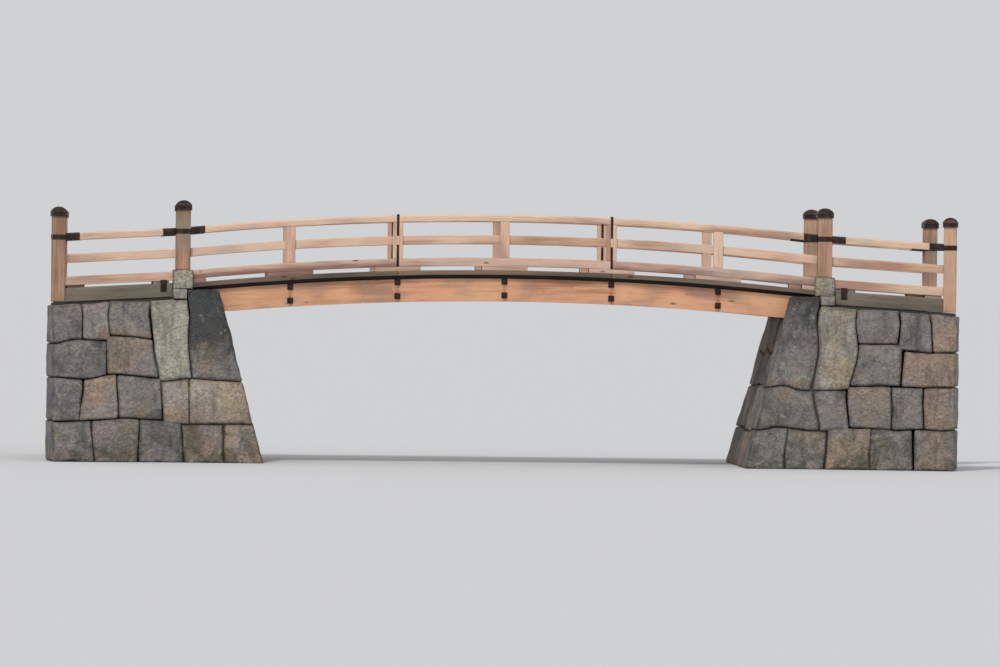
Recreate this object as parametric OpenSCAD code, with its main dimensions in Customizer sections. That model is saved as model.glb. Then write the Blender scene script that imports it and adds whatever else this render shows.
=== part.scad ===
// Timber moon bridge: a low arch of three girders between two battered stone
// abutments, with three-rail balustrades that follow the arch and splay out past
// the main posts. X runs along the bridge, Y across it and Z up. The origin is
// under the middle of the span, level with the foot of the abutments.

/* [Arch] */
// Distance from one balustrade post to the next
bay_l = 1310; // [1150:10:1450]
// Number of two-bay balustrade panels in the span
panel_n = 3; // [2:1:4]
// Rise of the arch between the two pairs of main posts
arch_rise = 215; // [140:5:280]
// Clear height under the middle of the girders
crown_clear = 2000; // [1700:10:2400]

/* [Girders] */
// Depth of a girder
girder_h = 280; // [230:5:330]
// Thickness of a girder
girder_w = 160; // [130:5:190]
// Height of the cross ties between the girders
tie_h = 180; // [120:5:200]
// Width of the cross ties along the bridge
tie_w = 120; // [80:5:160]

/* [Deck] */
// Height of the bearer strips that lift the deck off the girders
bearer_h = 45; // [30:1:60]
// Distance that a bearer strip is set back from each face of its girder
bearer_inset = 35; // [20:1:45]
// Thickness of the deck
deck_t = 55; // [40:1:70]
// Distance that the deck reaches past the outer girders
deck_overhang = 65; // [40:1:90]
// Distance that the deck reaches past the bottom rails
deck_edge = 30; // [15:1:45]

/* [Balustrade] */
// Distance between the centre lines of the two balustrades
rail_pitch = 1800; // [1500:10:2100]
// Height of the drain slots under the bottom rail
slot_h = 50; // [35:1:65]
// Length of a drain slot
slot_l = 750; // [600:10:900]
// Height of the bottom rail
bottom_rail_h = 105; // [85:1:125]
// Width of the bottom rail
bottom_rail_w = 150; // [130:1:170]
// Opening between the bottom rail and the middle rail
lower_gap = 168; // [130:1:210]
// Height of the middle rail
middle_rail_h = 105; // [80:1:120]
// Width of the middle rail
middle_rail_w = 60; // [45:1:70]
// Opening between the middle rail and the top rail
upper_gap = 172; // [130:1:210]
// Height of the top rail at its crown
top_rail_h = 82; // [70:1:95]
// Width of the top rail
top_rail_w = 110; // [100:1:120]
// Rise of the rounded back of the top rail
top_rail_crown = 14; // [8:1:20]
// Width of an intermediate post along the bridge
post_w = 115; // [95:1:130]
// Depth of an intermediate post across the bridge
post_d = 106; // [96:1:110]
// Width of each of the twin posts where two panels meet
twin_post_w = 47; // [40:1:56]
// Thickness of the iron upright between twin posts
upright_t = 28; // [20:1:34]
// Depth of the iron upright across the bridge
upright_d = 98; // [84:1:104]
// Height that the iron upright stands above the top rail
upright_proud = 14; // [6:1:24]
// Height of the middle rail's tenon through the iron upright
tenon_h = 64; // [50:1:76]
// Thickness of that tenon
tenon_w = 34; // [26:1:42]

/* [Main posts] */
// Width of a main post
main_post_w = 175; // [160:1:190]
// Height of the bare post above the top rail
main_post_rise = 218; // [170:1:260]
// Width of the stone plinth under a main post
plinth_w = 240; // [220:1:260]
// Height of the plinth above the bottom rail beside it
plinth_proud = 6; // [2:1:16]

/* [Caps and bands] */
// Height of the straight skirt of a post cap
cap_skirt_h = 55; // [45:1:70]
// Rise of the domed top of a post cap
cap_dome_h = 65; // [45:1:80]
// Distance that a cap reaches past its post
cap_overhang = 16; // [8:1:24]
// Depth that a post enters its cap
cap_socket = 42; // [30:1:44]
// Height of the metal band round a post
band_h = 60; // [40:1:70]
// Thickness of the bands and of the sleeves on the top rails
band_t = 4; // [3:0.5:6]
// Length of a sleeve on a top rail
sleeve_l = 170; // [120:5:220]

/* [Wing balustrades] */
// Distance from a main post to its wing end post
wing_l = 1540; // [1300:10:1800]
// Angle by which a wing turns outwards from the bridge's line
wing_splay = 9; // [5:0.5:14]
// Fall of the wing rails from the main post to the end post
wing_drop = 90; // [50:5:130]
// Width of a wing end post
end_post_w = 155; // [140:1:170]
// Height of the bare end post above the wing's top rail
end_post_rise = 210; // [160:1:250]
// Height of the timber kerb under a wing
kerb_h = 165; // [130:1:200]
// Width of the timber kerb under a wing
kerb_w = 170; // [140:1:200]
// Gap between that kerb and the wing's bottom rail
kerb_gap = 35; // [25:1:50]
// Length of a packing block in that gap
kerb_block_l = 200; // [140:5:260]
// Distance from the packing blocks to the faces and ends of the kerb
kerb_block_inset = 25; // [15:1:35]

/* [Abutments] */
// Distance from the main posts to the channel face at its top
face_setback = 445; // [400:5:520]
// Slope of the channel face from the vertical
front_batter = 15; // [8:0.5:18]
// Slope of the side faces from the vertical
side_batter = 8; // [4:0.5:10]
// Distance from the balustrade line to the side face at its top
side_reach = 300; // [260:5:360]
// Gap between the deck and the stones beside the girder ends
cheek_gap = 15; // [8:1:30]
// Room beside and behind a girder end in its pocket
pocket_clear = 10; // [4:1:20]
// Stone behind the plinths
back_ledge = 10; // [5:1:30]
// Distance from the balustrade line to the inner face of a wing wall
wall_inside = 150; // [130:5:200]
// Length of wing wall past the end post's centre
wall_past = 130; // [110:5:180]

/* [Hidden] */
// Clearance left at every seat and joint
seat = 0.3;
// A size larger than the whole bridge, for cutting tools
big = 20000;
// Turn past a plumb cut, so that the cut is a clean one
cut_past = 0.004;
// Fragments of a full turn of the arch, and of a small round section
arch_fn = 1440;
round_fn = 96;

half_l = panel_n * bay_l;
rail_y = rail_pitch / 2;
arch_r = round((half_l * half_l + arch_rise * arch_rise) / (2 * arch_rise));
arch_cz = crown_clear - arch_r;

// Radial levels above the underside of the girders
bearer_level = girder_h;
deck_level = bearer_level + bearer_h;
walk_level = deck_level + deck_t;
bottom_level = walk_level + slot_h;
post_level = bottom_level + bottom_rail_h;
middle_level = post_level + lower_gap;
top_level = middle_level + middle_rail_h + upper_gap;
tenon_level = middle_level + (middle_rail_h - tenon_h) / 2;

// Height of the arc at a radial level, x along the bridge
function arch_z(level, x) = arch_cz + sqrt(pow(arch_r + level, 2) - x * x);

timber_end = half_l - plinth_w / 2 - seat;
deck_w = 2 * rail_y + bottom_rail_w + 2 * deck_edge;
girder_y = deck_w / 2 - deck_overhang - girder_w / 2;
block_l = bay_l - slot_l;

abutment_top = arch_z(deck_level, timber_end) - cheek_gap;
abutment_back = half_l + plinth_w / 2 + back_ledge;
function face_x(z) = half_l - face_setback - (abutment_top - z) * tan(front_batter);
function side_offset(z) = side_reach + (abutment_top - z) * tan(side_batter);
seat_z = arch_z(0, face_x(arch_z(0, half_l)));
pocket_y = girder_y + girder_w / 2 + pocket_clear;
plinth_top = arch_z(post_level, timber_end) + plinth_proud;
walk_end_z = arch_z(walk_level, timber_end);

// Levels of the rails at the main posts, where the wings start
main_bottom_z = arch_z(bottom_level, half_l);
main_middle_z = arch_z(middle_level, half_l);
main_top_z = arch_z(top_level, half_l);
main_post_top = main_top_z + top_rail_h + main_post_rise;
wing_slope = atan(wing_drop / wing_l);
end_top_z = main_top_z - wing_drop;
end_post_top = end_top_z + top_rail_h + end_post_rise;
kerb_z = main_bottom_z - kerb_gap - kerb_h;
wall_end_z = kerb_z - (wing_l + wall_past) * tan(wing_slope);

// Where rails stop at the main posts and at the end posts
band_face = main_post_w / 2 + band_t + 2 * seat;
end_band_face = wing_l - end_post_w / 2 - band_t - 2 * seat;

stations = [for (i = [1 : 2 * panel_n - 1]) i * bay_l - half_l];
joints = [for (i = [1 : panel_n - 1]) 2 * i * bay_l - half_l];
joint_gap = upright_t + 2 * seat;

// A section drawn across and upwards, turned about the arch's centre between two angles
module arch_turn(from, to, level) {
    rotate([90, 0, 0])
        rotate([0, 0, from])
            rotate_extrude(angle = to - from, $fn = arch_fn)
                translate([arch_r + level, 0])
                    rotate(-90)
                        children();
}

// A section carried along the arch and cut plumb at both ends. A beam that passes the
// crown is turned from there to each end, so that both halves meet exactly.
module arch_beam(x0, x1, level, tall) {
    low = arch_r + level;
    high = low + tall;
    from = min(acos(x1 / low), acos(x1 / high)) - cut_past;
    to = max(acos(x0 / low), acos(x0 / high)) + cut_past;
    intersection() {
        translate([0, 0, arch_cz])
            if (x0 < 0 && x1 > 0) {
                arch_turn(90, to, level)
                    children();
                mirror([1, 0, 0])
                    arch_turn(90, 180 - from, level)
                        children();
            } else {
                arch_turn(from, to, level)
                    children();
            }
        translate([x0, -big / 2, 0])
            cube([x1 - x0, big, big]);
    }
}

// A plain rectangular section standing on the level it is carried at
module plain_section(w, h) {
    translate([-w / 2, 0])
        square([w, h]);
}

// The top rail's section: flat sides and a rounded back, grown evenly for the sleeves
module crowned_section(grow = 0) {
    half_w = top_rail_w / 2;
    crown_r = (half_w * half_w + top_rail_crown * top_rail_crown) / (2 * top_rail_crown);
    intersection() {
        translate([0, top_rail_h - crown_r])
            circle(r = crown_r + grow, $fn = 4 * round_fn);
        translate([-half_w - grow, -grow])
            square([top_rail_w + 2 * grow, top_rail_h + 2 * grow]);
    }
}

// Both balustrades stand at the same distance from the bridge's centre line
module at_side(side) {
    translate([0, side * rail_y, 0])
        children();
}

// The four corners, with x running outwards along the bridge and y outwards across it
module at_corners() {
    for (mx = [0, 1], my = [0, 1])
        mirror([mx, 0, 0])
            mirror([0, my, 0])
                translate([half_l, rail_y, 0])
                    children();
}

// A section carried down along a wing from x0 to x1, stopped at the main post's side
module wing_beam(x0, x1, z0, stop) {
    intersection() {
        rotate([0, 0, wing_splay])
            intersection() {
                translate([0, 0, z0])
                    rotate([0, wing_slope, 0])
                        translate([-wing_l, 0, 0])
                            rotate([90, 0, 90])
                                linear_extrude(3 * wing_l)
                                    children();
                translate([x0, -big / 2, 0])
                    cube([x1 - x0, big, big]);
            }
        translate([stop, -big / 2, 0])
            cube([big, big, big]);
    }
}

// Battered masonry block with a pocket for the girder ends, open towards the channel
module abutment(side) {
    base_y = rail_y + side_offset(0);
    top_y = rail_y + side_reach;
    mirror([side < 0 ? 1 : 0, 0, 0])
        difference() {
            intersection() {
                rotate([90, 0, 0])
                    linear_extrude(big, center = true)
                        polygon([
                            [face_x(0), 0],
                            [abutment_back, 0],
                            [abutment_back, abutment_top],
                            [face_x(abutment_top), abutment_top]
                        ]);
                rotate([90, 0, 90])
                    linear_extrude(big, center = true)
                        polygon([
                            [-base_y, 0],
                            [base_y, 0],
                            [top_y, abutment_top],
                            [-top_y, abutment_top]
                        ]);
            }
            translate([0, -pocket_y, seat_z])
                cube([timber_end + seat, 2 * pocket_y, big]);
        }
}

// Splayed retaining walls behind an abutment, falling with the wing kerbs they carry
module wing_walls(side) {
    wall_back = abutment_back - half_l + seat;
    top_at_back = kerb_z - wall_back * tan(wing_slope);
    for (my = [0, 1])
        mirror([side < 0 ? 1 : 0, 0, 0])
            mirror([0, my, 0])
                translate([half_l, rail_y, 0])
                    intersection() {
                        rotate([0, 0, wing_splay])
                            intersection() {
                                rotate([90, 0, 0])
                                    linear_extrude(big, center = true)
                                        polygon([
                                            [-wing_l, 0],
                                            [wing_l + wall_past, 0],
                                            [wing_l + wall_past, wall_end_z],
                                            [-wing_l, kerb_z + wing_l * tan(wing_slope)]
                                        ]);
                                rotate([90, 0, 90])
                                    linear_extrude(big, center = true)
                                        polygon([
                                            [-wall_inside, 0],
                                            [side_offset(0), 0],
                                            [side_offset(top_at_back), top_at_back],
                                            [side_offset(top_at_back), big],
                                            [-wall_inside, big]
                                        ]);
                            }
                        translate([wall_back, -big / 2, 0])
                            cube([big, big, big]);
                    }
}

// Dressed slab that closes the deck's end between the two plinths
module threshold_stone(side) {
    slab_y = rail_y - plinth_w / 2 - seat;
    mirror([side < 0 ? 1 : 0, 0, 0])
        translate([timber_end + seat, -slab_y, abutment_top])
            cube([abutment_back - timber_end - seat, 2 * slab_y, walk_end_z - abutment_top]);
}

// A square block on each corner of the abutments, under the main post
module post_plinth() {
    translate([-plinth_w / 2, -plinth_w / 2, abutment_top])
        cube([plinth_w, plinth_w, plinth_top - abutment_top]);
}

// Arched girder with level seat cuts where it bears in the two pockets
module girder(y) {
    intersection() {
        translate([0, y, 0])
            arch_beam(-timber_end, timber_end, 0, girder_h)
                plain_section(girder_w, girder_h);
        translate([-big / 2, -big / 2, seat_z + seat])
            cube([big, big, big]);
    }
}

// Ties at every intermediate post, cut between the outer and the middle girders
module tie_pair(x) {
    tie_l = girder_y - girder_w - 2 * seat;
    for (side = [-1, 1])
        translate([x, side * girder_y / 2, arch_z(girder_h / 2, x)])
            cube([tie_w, tie_l, tie_h], center = true);
}

// Packing block between the deck and the bottom rail, with drain slots on both sides
module slot_block(x) {
    x0 = max(x - block_l / 2, -timber_end);
    x1 = min(x + block_l / 2, timber_end);
    arch_beam(x0, x1, walk_level + seat, slot_h)
        plain_section(bottom_rail_w, slot_h - seat);
}

// Lengths of an arched rail between the joints, with end the distance of its two ends
module panels(end, level, tall) {
    starts = concat([-end], [for (x = joints) x + joint_gap / 2]);
    stops = concat([for (x = joints) x - joint_gap / 2], [end]);
    for (i = [0 : panel_n - 1])
        arch_beam(starts[i], stops[i], level, tall)
            children();
}

// Continuous middle rail, thinned to a tenon where it passes the iron uprights
module middle_rail() {
    end = half_l - main_post_w / 2 - seat;
    panels(end, middle_level, middle_rail_h)
        plain_section(middle_rail_w, middle_rail_h);
    for (x = joints)
        arch_beam(x - upright_t, x + upright_t, tenon_level, tenon_h)
            plain_section(tenon_w, tenon_h);
}

// Plumb post whose head and foot follow the rails, mortised for the middle rail
module baluster_post(x0, x1) {
    tall = top_level - post_level - 2 * seat;
    difference() {
        arch_beam(x0, x1, post_level + seat, tall)
            plain_section(post_d, tall);
        arch_beam(x0 - post_w, x1 + post_w, middle_level - seat, middle_rail_h)
            plain_section(middle_rail_w + 2 * seat, middle_rail_h + 2 * seat);
    }
}

// Single posts between the joints, twin posts on both sides of every joint
module posts() {
    for (i = [0 : len(stations) - 1])
        if (i % 2 == 0)
            baluster_post(stations[i] - post_w / 2, stations[i] + post_w / 2);
    for (x = joints) {
        inner = joint_gap / 2;
        baluster_post(x - inner - twin_post_w, x - inner);
        baluster_post(x + inner, x + inner + twin_post_w);
    }
}

// Flat iron upright in the joint between two panels, slotted for the tenon
module iron_upright(x) {
    tall = top_level + top_rail_h + upright_proud - bottom_level;
    difference() {
        arch_beam(x - upright_t / 2, x + upright_t / 2, bottom_level + seat, tall)
            plain_section(upright_d, tall);
        arch_beam(x - upright_t, x + upright_t, tenon_level - seat, tenon_h)
            plain_section(tenon_w + 2 * seat, tenon_h + 2 * seat);
    }
}

// Square post that runs up into its cap
module square_post(w, foot, top) {
    translate([-w / 2, -w / 2, foot])
        cube([w, w, top + cap_socket - foot]);
}

// Flat metal band round a square post
module post_band(w, z) {
    outer = w + 2 * (band_t + seat);
    inner = w + 2 * seat;
    translate([0, 0, z])
        difference() {
            cube([outer, outer, band_h], center = true);
            cube([inner, inner, 2 * band_h], center = true);
        }
}

// Outline of a cap seen from the side: a straight skirt under a shallow arc
module cap_outline(half) {
    dome_r = (half * half + cap_dome_h * cap_dome_h) / (2 * cap_dome_h);
    plain_section(2 * half, cap_skirt_h);
    intersection() {
        translate([0, cap_skirt_h + cap_dome_h - dome_r])
            circle(r = dome_r, $fn = round_fn);
        plain_section(2 * half, cap_skirt_h + cap_dome_h);
    }
}

// Four-sided domed cap, the common part of two crossing outlines, with a socket below
module post_cap(w, z) {
    half = w / 2 + cap_overhang;
    socket = w + 2 * seat;
    translate([0, 0, z])
        difference() {
            intersection() {
                rotate([90, 0, 0])
                    linear_extrude(2 * half, center = true)
                        cap_outline(half);
                rotate([90, 0, 90])
                    linear_extrude(2 * half, center = true)
                        cap_outline(half);
            }
            translate([-socket / 2, -socket / 2, -cap_skirt_h])
                cube([socket, socket, cap_skirt_h + cap_socket + seat]);
        }
}

// Metal sleeve on the end of an arched top rail, against the main post's band
module arch_sleeve(side) {
    near = half_l - band_face;
    x0 = side > 0 ? near - sleeve_l : -near;
    difference() {
        arch_beam(x0, x0 + sleeve_l, top_level, top_rail_h)
            crowned_section(seat + band_t);
        arch_beam(x0 - sleeve_l, x0 + 2 * sleeve_l, top_level, top_rail_h)
            crowned_section(seat);
    }
}

// Metal sleeve on a wing's top rail
module wing_sleeve(x0, x1, stop) {
    difference() {
        wing_beam(x0, x1, main_top_z, stop)
            crowned_section(seat + band_t);
        wing_beam(-big / 2, big / 2, main_top_z, 0)
            crowned_section(seat);
    }
}

module left_abutment() { color("slategray") abutment(-1); }
module right_abutment() { color("slategray") abutment(1); }
module left_wing_walls() { color("darkgray") wing_walls(-1); }
module right_wing_walls() { color("darkgray") wing_walls(1); }
module left_threshold_stone() { color("lightgray") threshold_stone(-1); }
module right_threshold_stone() { color("lightgray") threshold_stone(1); }
module post_plinths() { color("lightgray") at_corners() post_plinth(); }

module front_girder() { color("peru") girder(-girder_y); }
module middle_girder() { color("peru") girder(0); }
module back_girder() { color("peru") girder(girder_y); }

module cross_ties() {
    color("sienna")
        for (x = stations)
            tie_pair(x);
}

module deck_bearers() {
    color("saddlebrown")
        for (y = [-girder_y, 0, girder_y])
            translate([0, y, 0])
                arch_beam(-timber_end, timber_end, bearer_level + seat, bearer_h)
                    plain_section(girder_w - 2 * bearer_inset, bearer_h - seat);
}

module deck() {
    color("rosybrown")
        arch_beam(-timber_end, timber_end, deck_level + seat, deck_t)
            plain_section(deck_w, deck_t - seat);
}

module slot_blocks() {
    color("tan") {
        slot_block(-half_l);
        for (x = stations)
            slot_block(x);
        slot_block(half_l);
    }
}

module bottom_rail() {
    color("tan")
        panels(timber_end, bottom_level + seat, bottom_rail_h)
            plain_section(bottom_rail_w, bottom_rail_h - seat);
}

module top_rail() {
    color("burlywood")
        panels(half_l - band_face, top_level, top_rail_h)
            crowned_section();
}

module iron_uprights() {
    color("dimgray")
        for (x = joints)
            iron_upright(x);
}

module front_slot_blocks() { at_side(-1) slot_blocks(); }
module back_slot_blocks() { at_side(1) slot_blocks(); }
module front_bottom_rail() { at_side(-1) bottom_rail(); }
module back_bottom_rail() { at_side(1) bottom_rail(); }
module front_middle_rail() { color("burlywood") at_side(-1) middle_rail(); }
module back_middle_rail() { color("burlywood") at_side(1) middle_rail(); }
module front_top_rail() { at_side(-1) top_rail(); }
module back_top_rail() { at_side(1) top_rail(); }
module front_posts() { color("burlywood") at_side(-1) posts(); }
module back_posts() { color("burlywood") at_side(1) posts(); }
module front_iron_uprights() { at_side(-1) iron_uprights(); }
module back_iron_uprights() { at_side(1) iron_uprights(); }

module main_posts() {
    color("burlywood")
        at_corners()
            square_post(main_post_w, plinth_top + seat, main_post_top);
}

module main_post_bands() {
    color("dimgray")
        at_corners()
            post_band(main_post_w, main_top_z + top_rail_h / 2);
}

module main_post_caps() {
    color("dimgray")
        at_corners()
            post_cap(main_post_w, main_post_top);
}

module main_rail_sleeves() {
    color("dimgray")
        for (side = [-1, 1], end = [-1, 1])
            at_side(side)
                arch_sleeve(end);
}

module wing_kerbs() {
    color("gray")
        at_corners()
            wing_beam(0, wing_l - end_post_w / 2 - seat, kerb_z + seat, abutment_back - half_l + seat)
                plain_section(kerb_w, kerb_h - seat);
}

module wing_kerb_blocks() {
    first = abutment_back - half_l + 2 * kerb_block_inset;
    last = wing_l - end_post_w / 2 - kerb_block_l - kerb_block_inset;
    color("gray")
        at_corners()
            for (x = [first, last])
                wing_beam(x, x + kerb_block_l, kerb_z + kerb_h + seat, 0)
                    plain_section(kerb_w - 2 * kerb_block_inset, kerb_gap - 2 * seat);
}

module wing_bottom_rails() {
    color("burlywood")
        at_corners()
            wing_beam(0, wing_l - end_post_w / 2 - seat, main_bottom_z, plinth_w / 2 + seat)
                plain_section(bottom_rail_w, bottom_rail_h);
}

module wing_middle_rails() {
    color("burlywood")
        at_corners()
            wing_beam(0, wing_l - end_post_w / 2 - seat, main_middle_z, main_post_w / 2 + seat)
                plain_section(middle_rail_w, middle_rail_h);
}

module wing_top_rails() {
    color("burlywood")
        at_corners()
            wing_beam(0, end_band_face, main_top_z, band_face)
                crowned_section();
}

module wing_rail_sleeves() {
    color("dimgray")
        at_corners() {
            wing_sleeve(0, band_face + sleeve_l, band_face);
            wing_sleeve(end_band_face - sleeve_l, end_band_face, band_face);
        }
}

module at_wing_ends() {
    at_corners()
        rotate([0, 0, wing_splay])
            translate([wing_l, 0, 0])
                children();
}

module wing_end_posts() {
    foot = kerb_z - (wing_l - end_post_w / 2) * tan(wing_slope) + seat;
    color("burlywood")
        at_wing_ends()
            square_post(end_post_w, foot, end_post_top);
}

module end_post_bands() {
    color("dimgray")
        at_wing_ends()
            post_band(end_post_w, end_top_z + top_rail_h / 2);
}

module end_post_caps() {
    color("dimgray")
        at_wing_ends()
            post_cap(end_post_w, end_post_top);
}

left_abutment();
right_abutment();
left_wing_walls();
right_wing_walls();
left_threshold_stone();
right_threshold_stone();
post_plinths();
front_girder();
middle_girder();
back_girder();
cross_ties();
deck_bearers();
deck();
front_slot_blocks();
back_slot_blocks();
front_bottom_rail();
back_bottom_rail();
front_middle_rail();
back_middle_rail();
front_top_rail();
back_top_rail();
front_posts();
back_posts();
front_iron_uprights();
back_iron_uprights();
main_posts();
main_post_bands();
main_post_caps();
main_rail_sleeves();
wing_kerbs();
wing_kerb_blocks();
wing_bottom_rails();
wing_middle_rails();
wing_top_rails();
wing_rail_sleeves();
wing_end_posts();
end_post_bands();
end_post_caps();
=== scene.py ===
import math

import bpy
import numpy as np
from bpy.props import FloatProperty, FloatVectorProperty, IntProperty, PointerProperty
from mathutils import Euler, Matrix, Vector


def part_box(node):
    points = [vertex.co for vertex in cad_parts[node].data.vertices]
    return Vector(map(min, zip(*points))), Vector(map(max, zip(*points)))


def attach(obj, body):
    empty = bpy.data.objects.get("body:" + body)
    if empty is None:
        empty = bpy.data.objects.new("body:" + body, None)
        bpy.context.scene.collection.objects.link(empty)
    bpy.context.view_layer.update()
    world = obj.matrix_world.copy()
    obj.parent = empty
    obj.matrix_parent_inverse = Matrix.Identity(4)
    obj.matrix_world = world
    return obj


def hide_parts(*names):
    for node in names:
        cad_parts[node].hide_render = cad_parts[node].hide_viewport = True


bl_info = {
    "name": "Moon bridge pieces",
    "version": (1, 0, 0),
    "blender": (4, 5, 0),
    "location": "3D View > Sidebar > Bridge",
    "description": "Dresses a low arched footbridge with timber, stone and metal pieces",
    "category": "Object",
}

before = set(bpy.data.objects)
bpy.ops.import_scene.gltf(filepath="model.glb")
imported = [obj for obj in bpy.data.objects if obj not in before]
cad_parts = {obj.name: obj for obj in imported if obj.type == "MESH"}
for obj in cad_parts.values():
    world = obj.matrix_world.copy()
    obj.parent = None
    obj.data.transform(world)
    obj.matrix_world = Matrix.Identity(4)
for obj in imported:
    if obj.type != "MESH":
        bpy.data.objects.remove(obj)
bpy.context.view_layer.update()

# Signs along the bridge, signs across it, and both together for its four corners
ENDS = (("left", -1), ("right", 1))
FACES = (("front", -1), ("back", 1))
SIDES = (-1, 1)
CORNERS = [(sx, sy) for sx in SIDES for sy in SIDES]
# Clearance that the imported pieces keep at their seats, in metres
SEAT = 0.0003


# Sizes and colours


def length(name, description, default):
    """A length in metres that the sidebar shows and a user may change."""
    return FloatProperty(
        name=name, description=description, default=default, min=0.0, unit="LENGTH"
    )


def angle(name, description, degrees):
    """An angle, given here in degrees, that the sidebar shows and a user may change."""
    return FloatProperty(
        name=name, description=description, default=math.radians(degrees), unit="ROTATION"
    )


def colour(name, description, default):
    """A colour that the sidebar shows and a user may change."""
    return FloatVectorProperty(
        name=name, description=description, default=default, size=3, min=0.0, max=1.0,
        subtype="COLOR",
    )


class BridgeSizes(bpy.types.PropertyGroup):
    """Sizes of the arch, the deck and the balustrades"""

    arch_radius: length("Arch radius", "Radius of the underside of the girders", 36.026)
    crown_clear: length("Clear height", "Height under the middle of the girders", 2.0)
    bay: length("Bay", "Distance from one balustrade post to the next", 1.31)
    half_span: length("Half span", "From the middle to the main posts", 3.93)
    timber_end: length("Timber end", "From the middle to the ends of the deck", 3.8097)
    rail_y: length("Rail line", "From the middle to either balustrade", 0.9)
    joint_gap: length("Joint gap", "Gap between the rails of two panels", 0.0286)
    splay: angle("Splay", "Angle by which a wing turns outwards", 9.0)
    wing_length: length("Wing length", "From a main post to its end post", 1.54)
    wing_drop: length("Wing drop", "Fall of a wing's rails to its end post", 0.09)
    board_width: length("Board width", "Width of a deck board", 0.142)
    board_gap: length("Board gap", "Gap between two deck boards", 0.007)
    arris: length("Arris", "Radius of the worn edges of the timber", 0.006)


class MasonrySizes(bpy.types.PropertyGroup):
    """Slopes of the walls, and how their stones are hewn and laid"""

    front_batter: angle("Channel batter", "Slope of the channel face", 15.0)
    side_batter: angle("Side batter", "Slope of the side faces", 8.0)
    face_setback: length("Face setback", "From the main posts to the channel face", 0.445)
    side_reach: length("Side reach", "From the balustrade to the side face", 0.3)
    joint: length("Joint", "Open joint between two stones", 0.012)
    rough: length("Roughness", "Depth of the hewn surface", 0.009)
    crooked: length("Crookedness", "How far the joints wander from their lines", 0.055)
    hollow: length("Face inset", "Depth of the stones' edges inside the wall's face", 0.016)
    stone_cells: IntProperty(
        name="Stone cells", description="Grid cells along each side of a stone",
        default=18, min=6, max=24,
    )


class FinishColours(bpy.types.PropertyGroup):
    """Colours of the timber, stone and metal, and of the studio"""

    rail_pale: colour("Rail, pale", "Sun-bleached rail timber", (0.75, 0.55, 0.40))
    rail_deep: colour("Rail, deep", "Reddish heart of the rail timber", (0.42, 0.22, 0.14))
    foot_pale: colour("Bottom rail, pale", "Damper timber near the deck", (0.66, 0.47, 0.36))
    foot_deep: colour("Bottom rail, deep", "Purplish streaks near the deck", (0.25, 0.14, 0.105))
    post_pale: colour("Main post, pale", "Tanned main post timber", (0.58, 0.375, 0.25))
    post_deep: colour("Main post, deep", "Darker main post timber", (0.24, 0.135, 0.08))
    girder_pale: colour("Girder, pale", "Lighter girder timber", (0.74, 0.415, 0.235))
    girder_deep: colour("Girder, deep", "Darker girder timber", (0.37, 0.165, 0.085))
    deck_pale: colour("Deck, pale", "Silvered deck timber", (0.34, 0.30, 0.26))
    deck_deep: colour("Deck, deep", "Damp deck timber", (0.13, 0.10, 0.08))
    edge_pale: colour("Deck edge, pale", "Stained timber along the deck", (0.20, 0.145, 0.098))
    edge_deep: colour("Deck edge, deep", "Damp streaks along the deck", (0.06, 0.042, 0.03))
    kerb_pale: colour("Kerb, pale", "Weathered kerb timber", (0.215, 0.19, 0.145))
    kerb_deep: colour("Kerb, deep", "Mossy streaks in the kerbs", (0.08, 0.07, 0.045))
    stone_dark: colour("Stone, dark", "Damp grey stone", (0.064, 0.068, 0.070))
    stone_mid: colour("Stone, mid", "Dry grey stone", (0.262, 0.24, 0.225))
    stone_pale: colour("Stone, pale", "Dressed pale stone", (0.435, 0.43, 0.36))
    bedding: colour("Bedding", "Dark bedding between the stones", (0.03, 0.028, 0.025))
    metal: colour("Metal", "Dark patina of the caps and bands", (0.030, 0.020, 0.018))
    metal_worn: colour("Metal, worn", "Browner worn metal", (0.075, 0.045, 0.035))
    floor: colour("Floor", "Plain pale floor", (0.547, 0.556, 0.575))
    sky: colour("Studio", "Soft light all round", (0.97, 0.98, 1.0))


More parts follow.
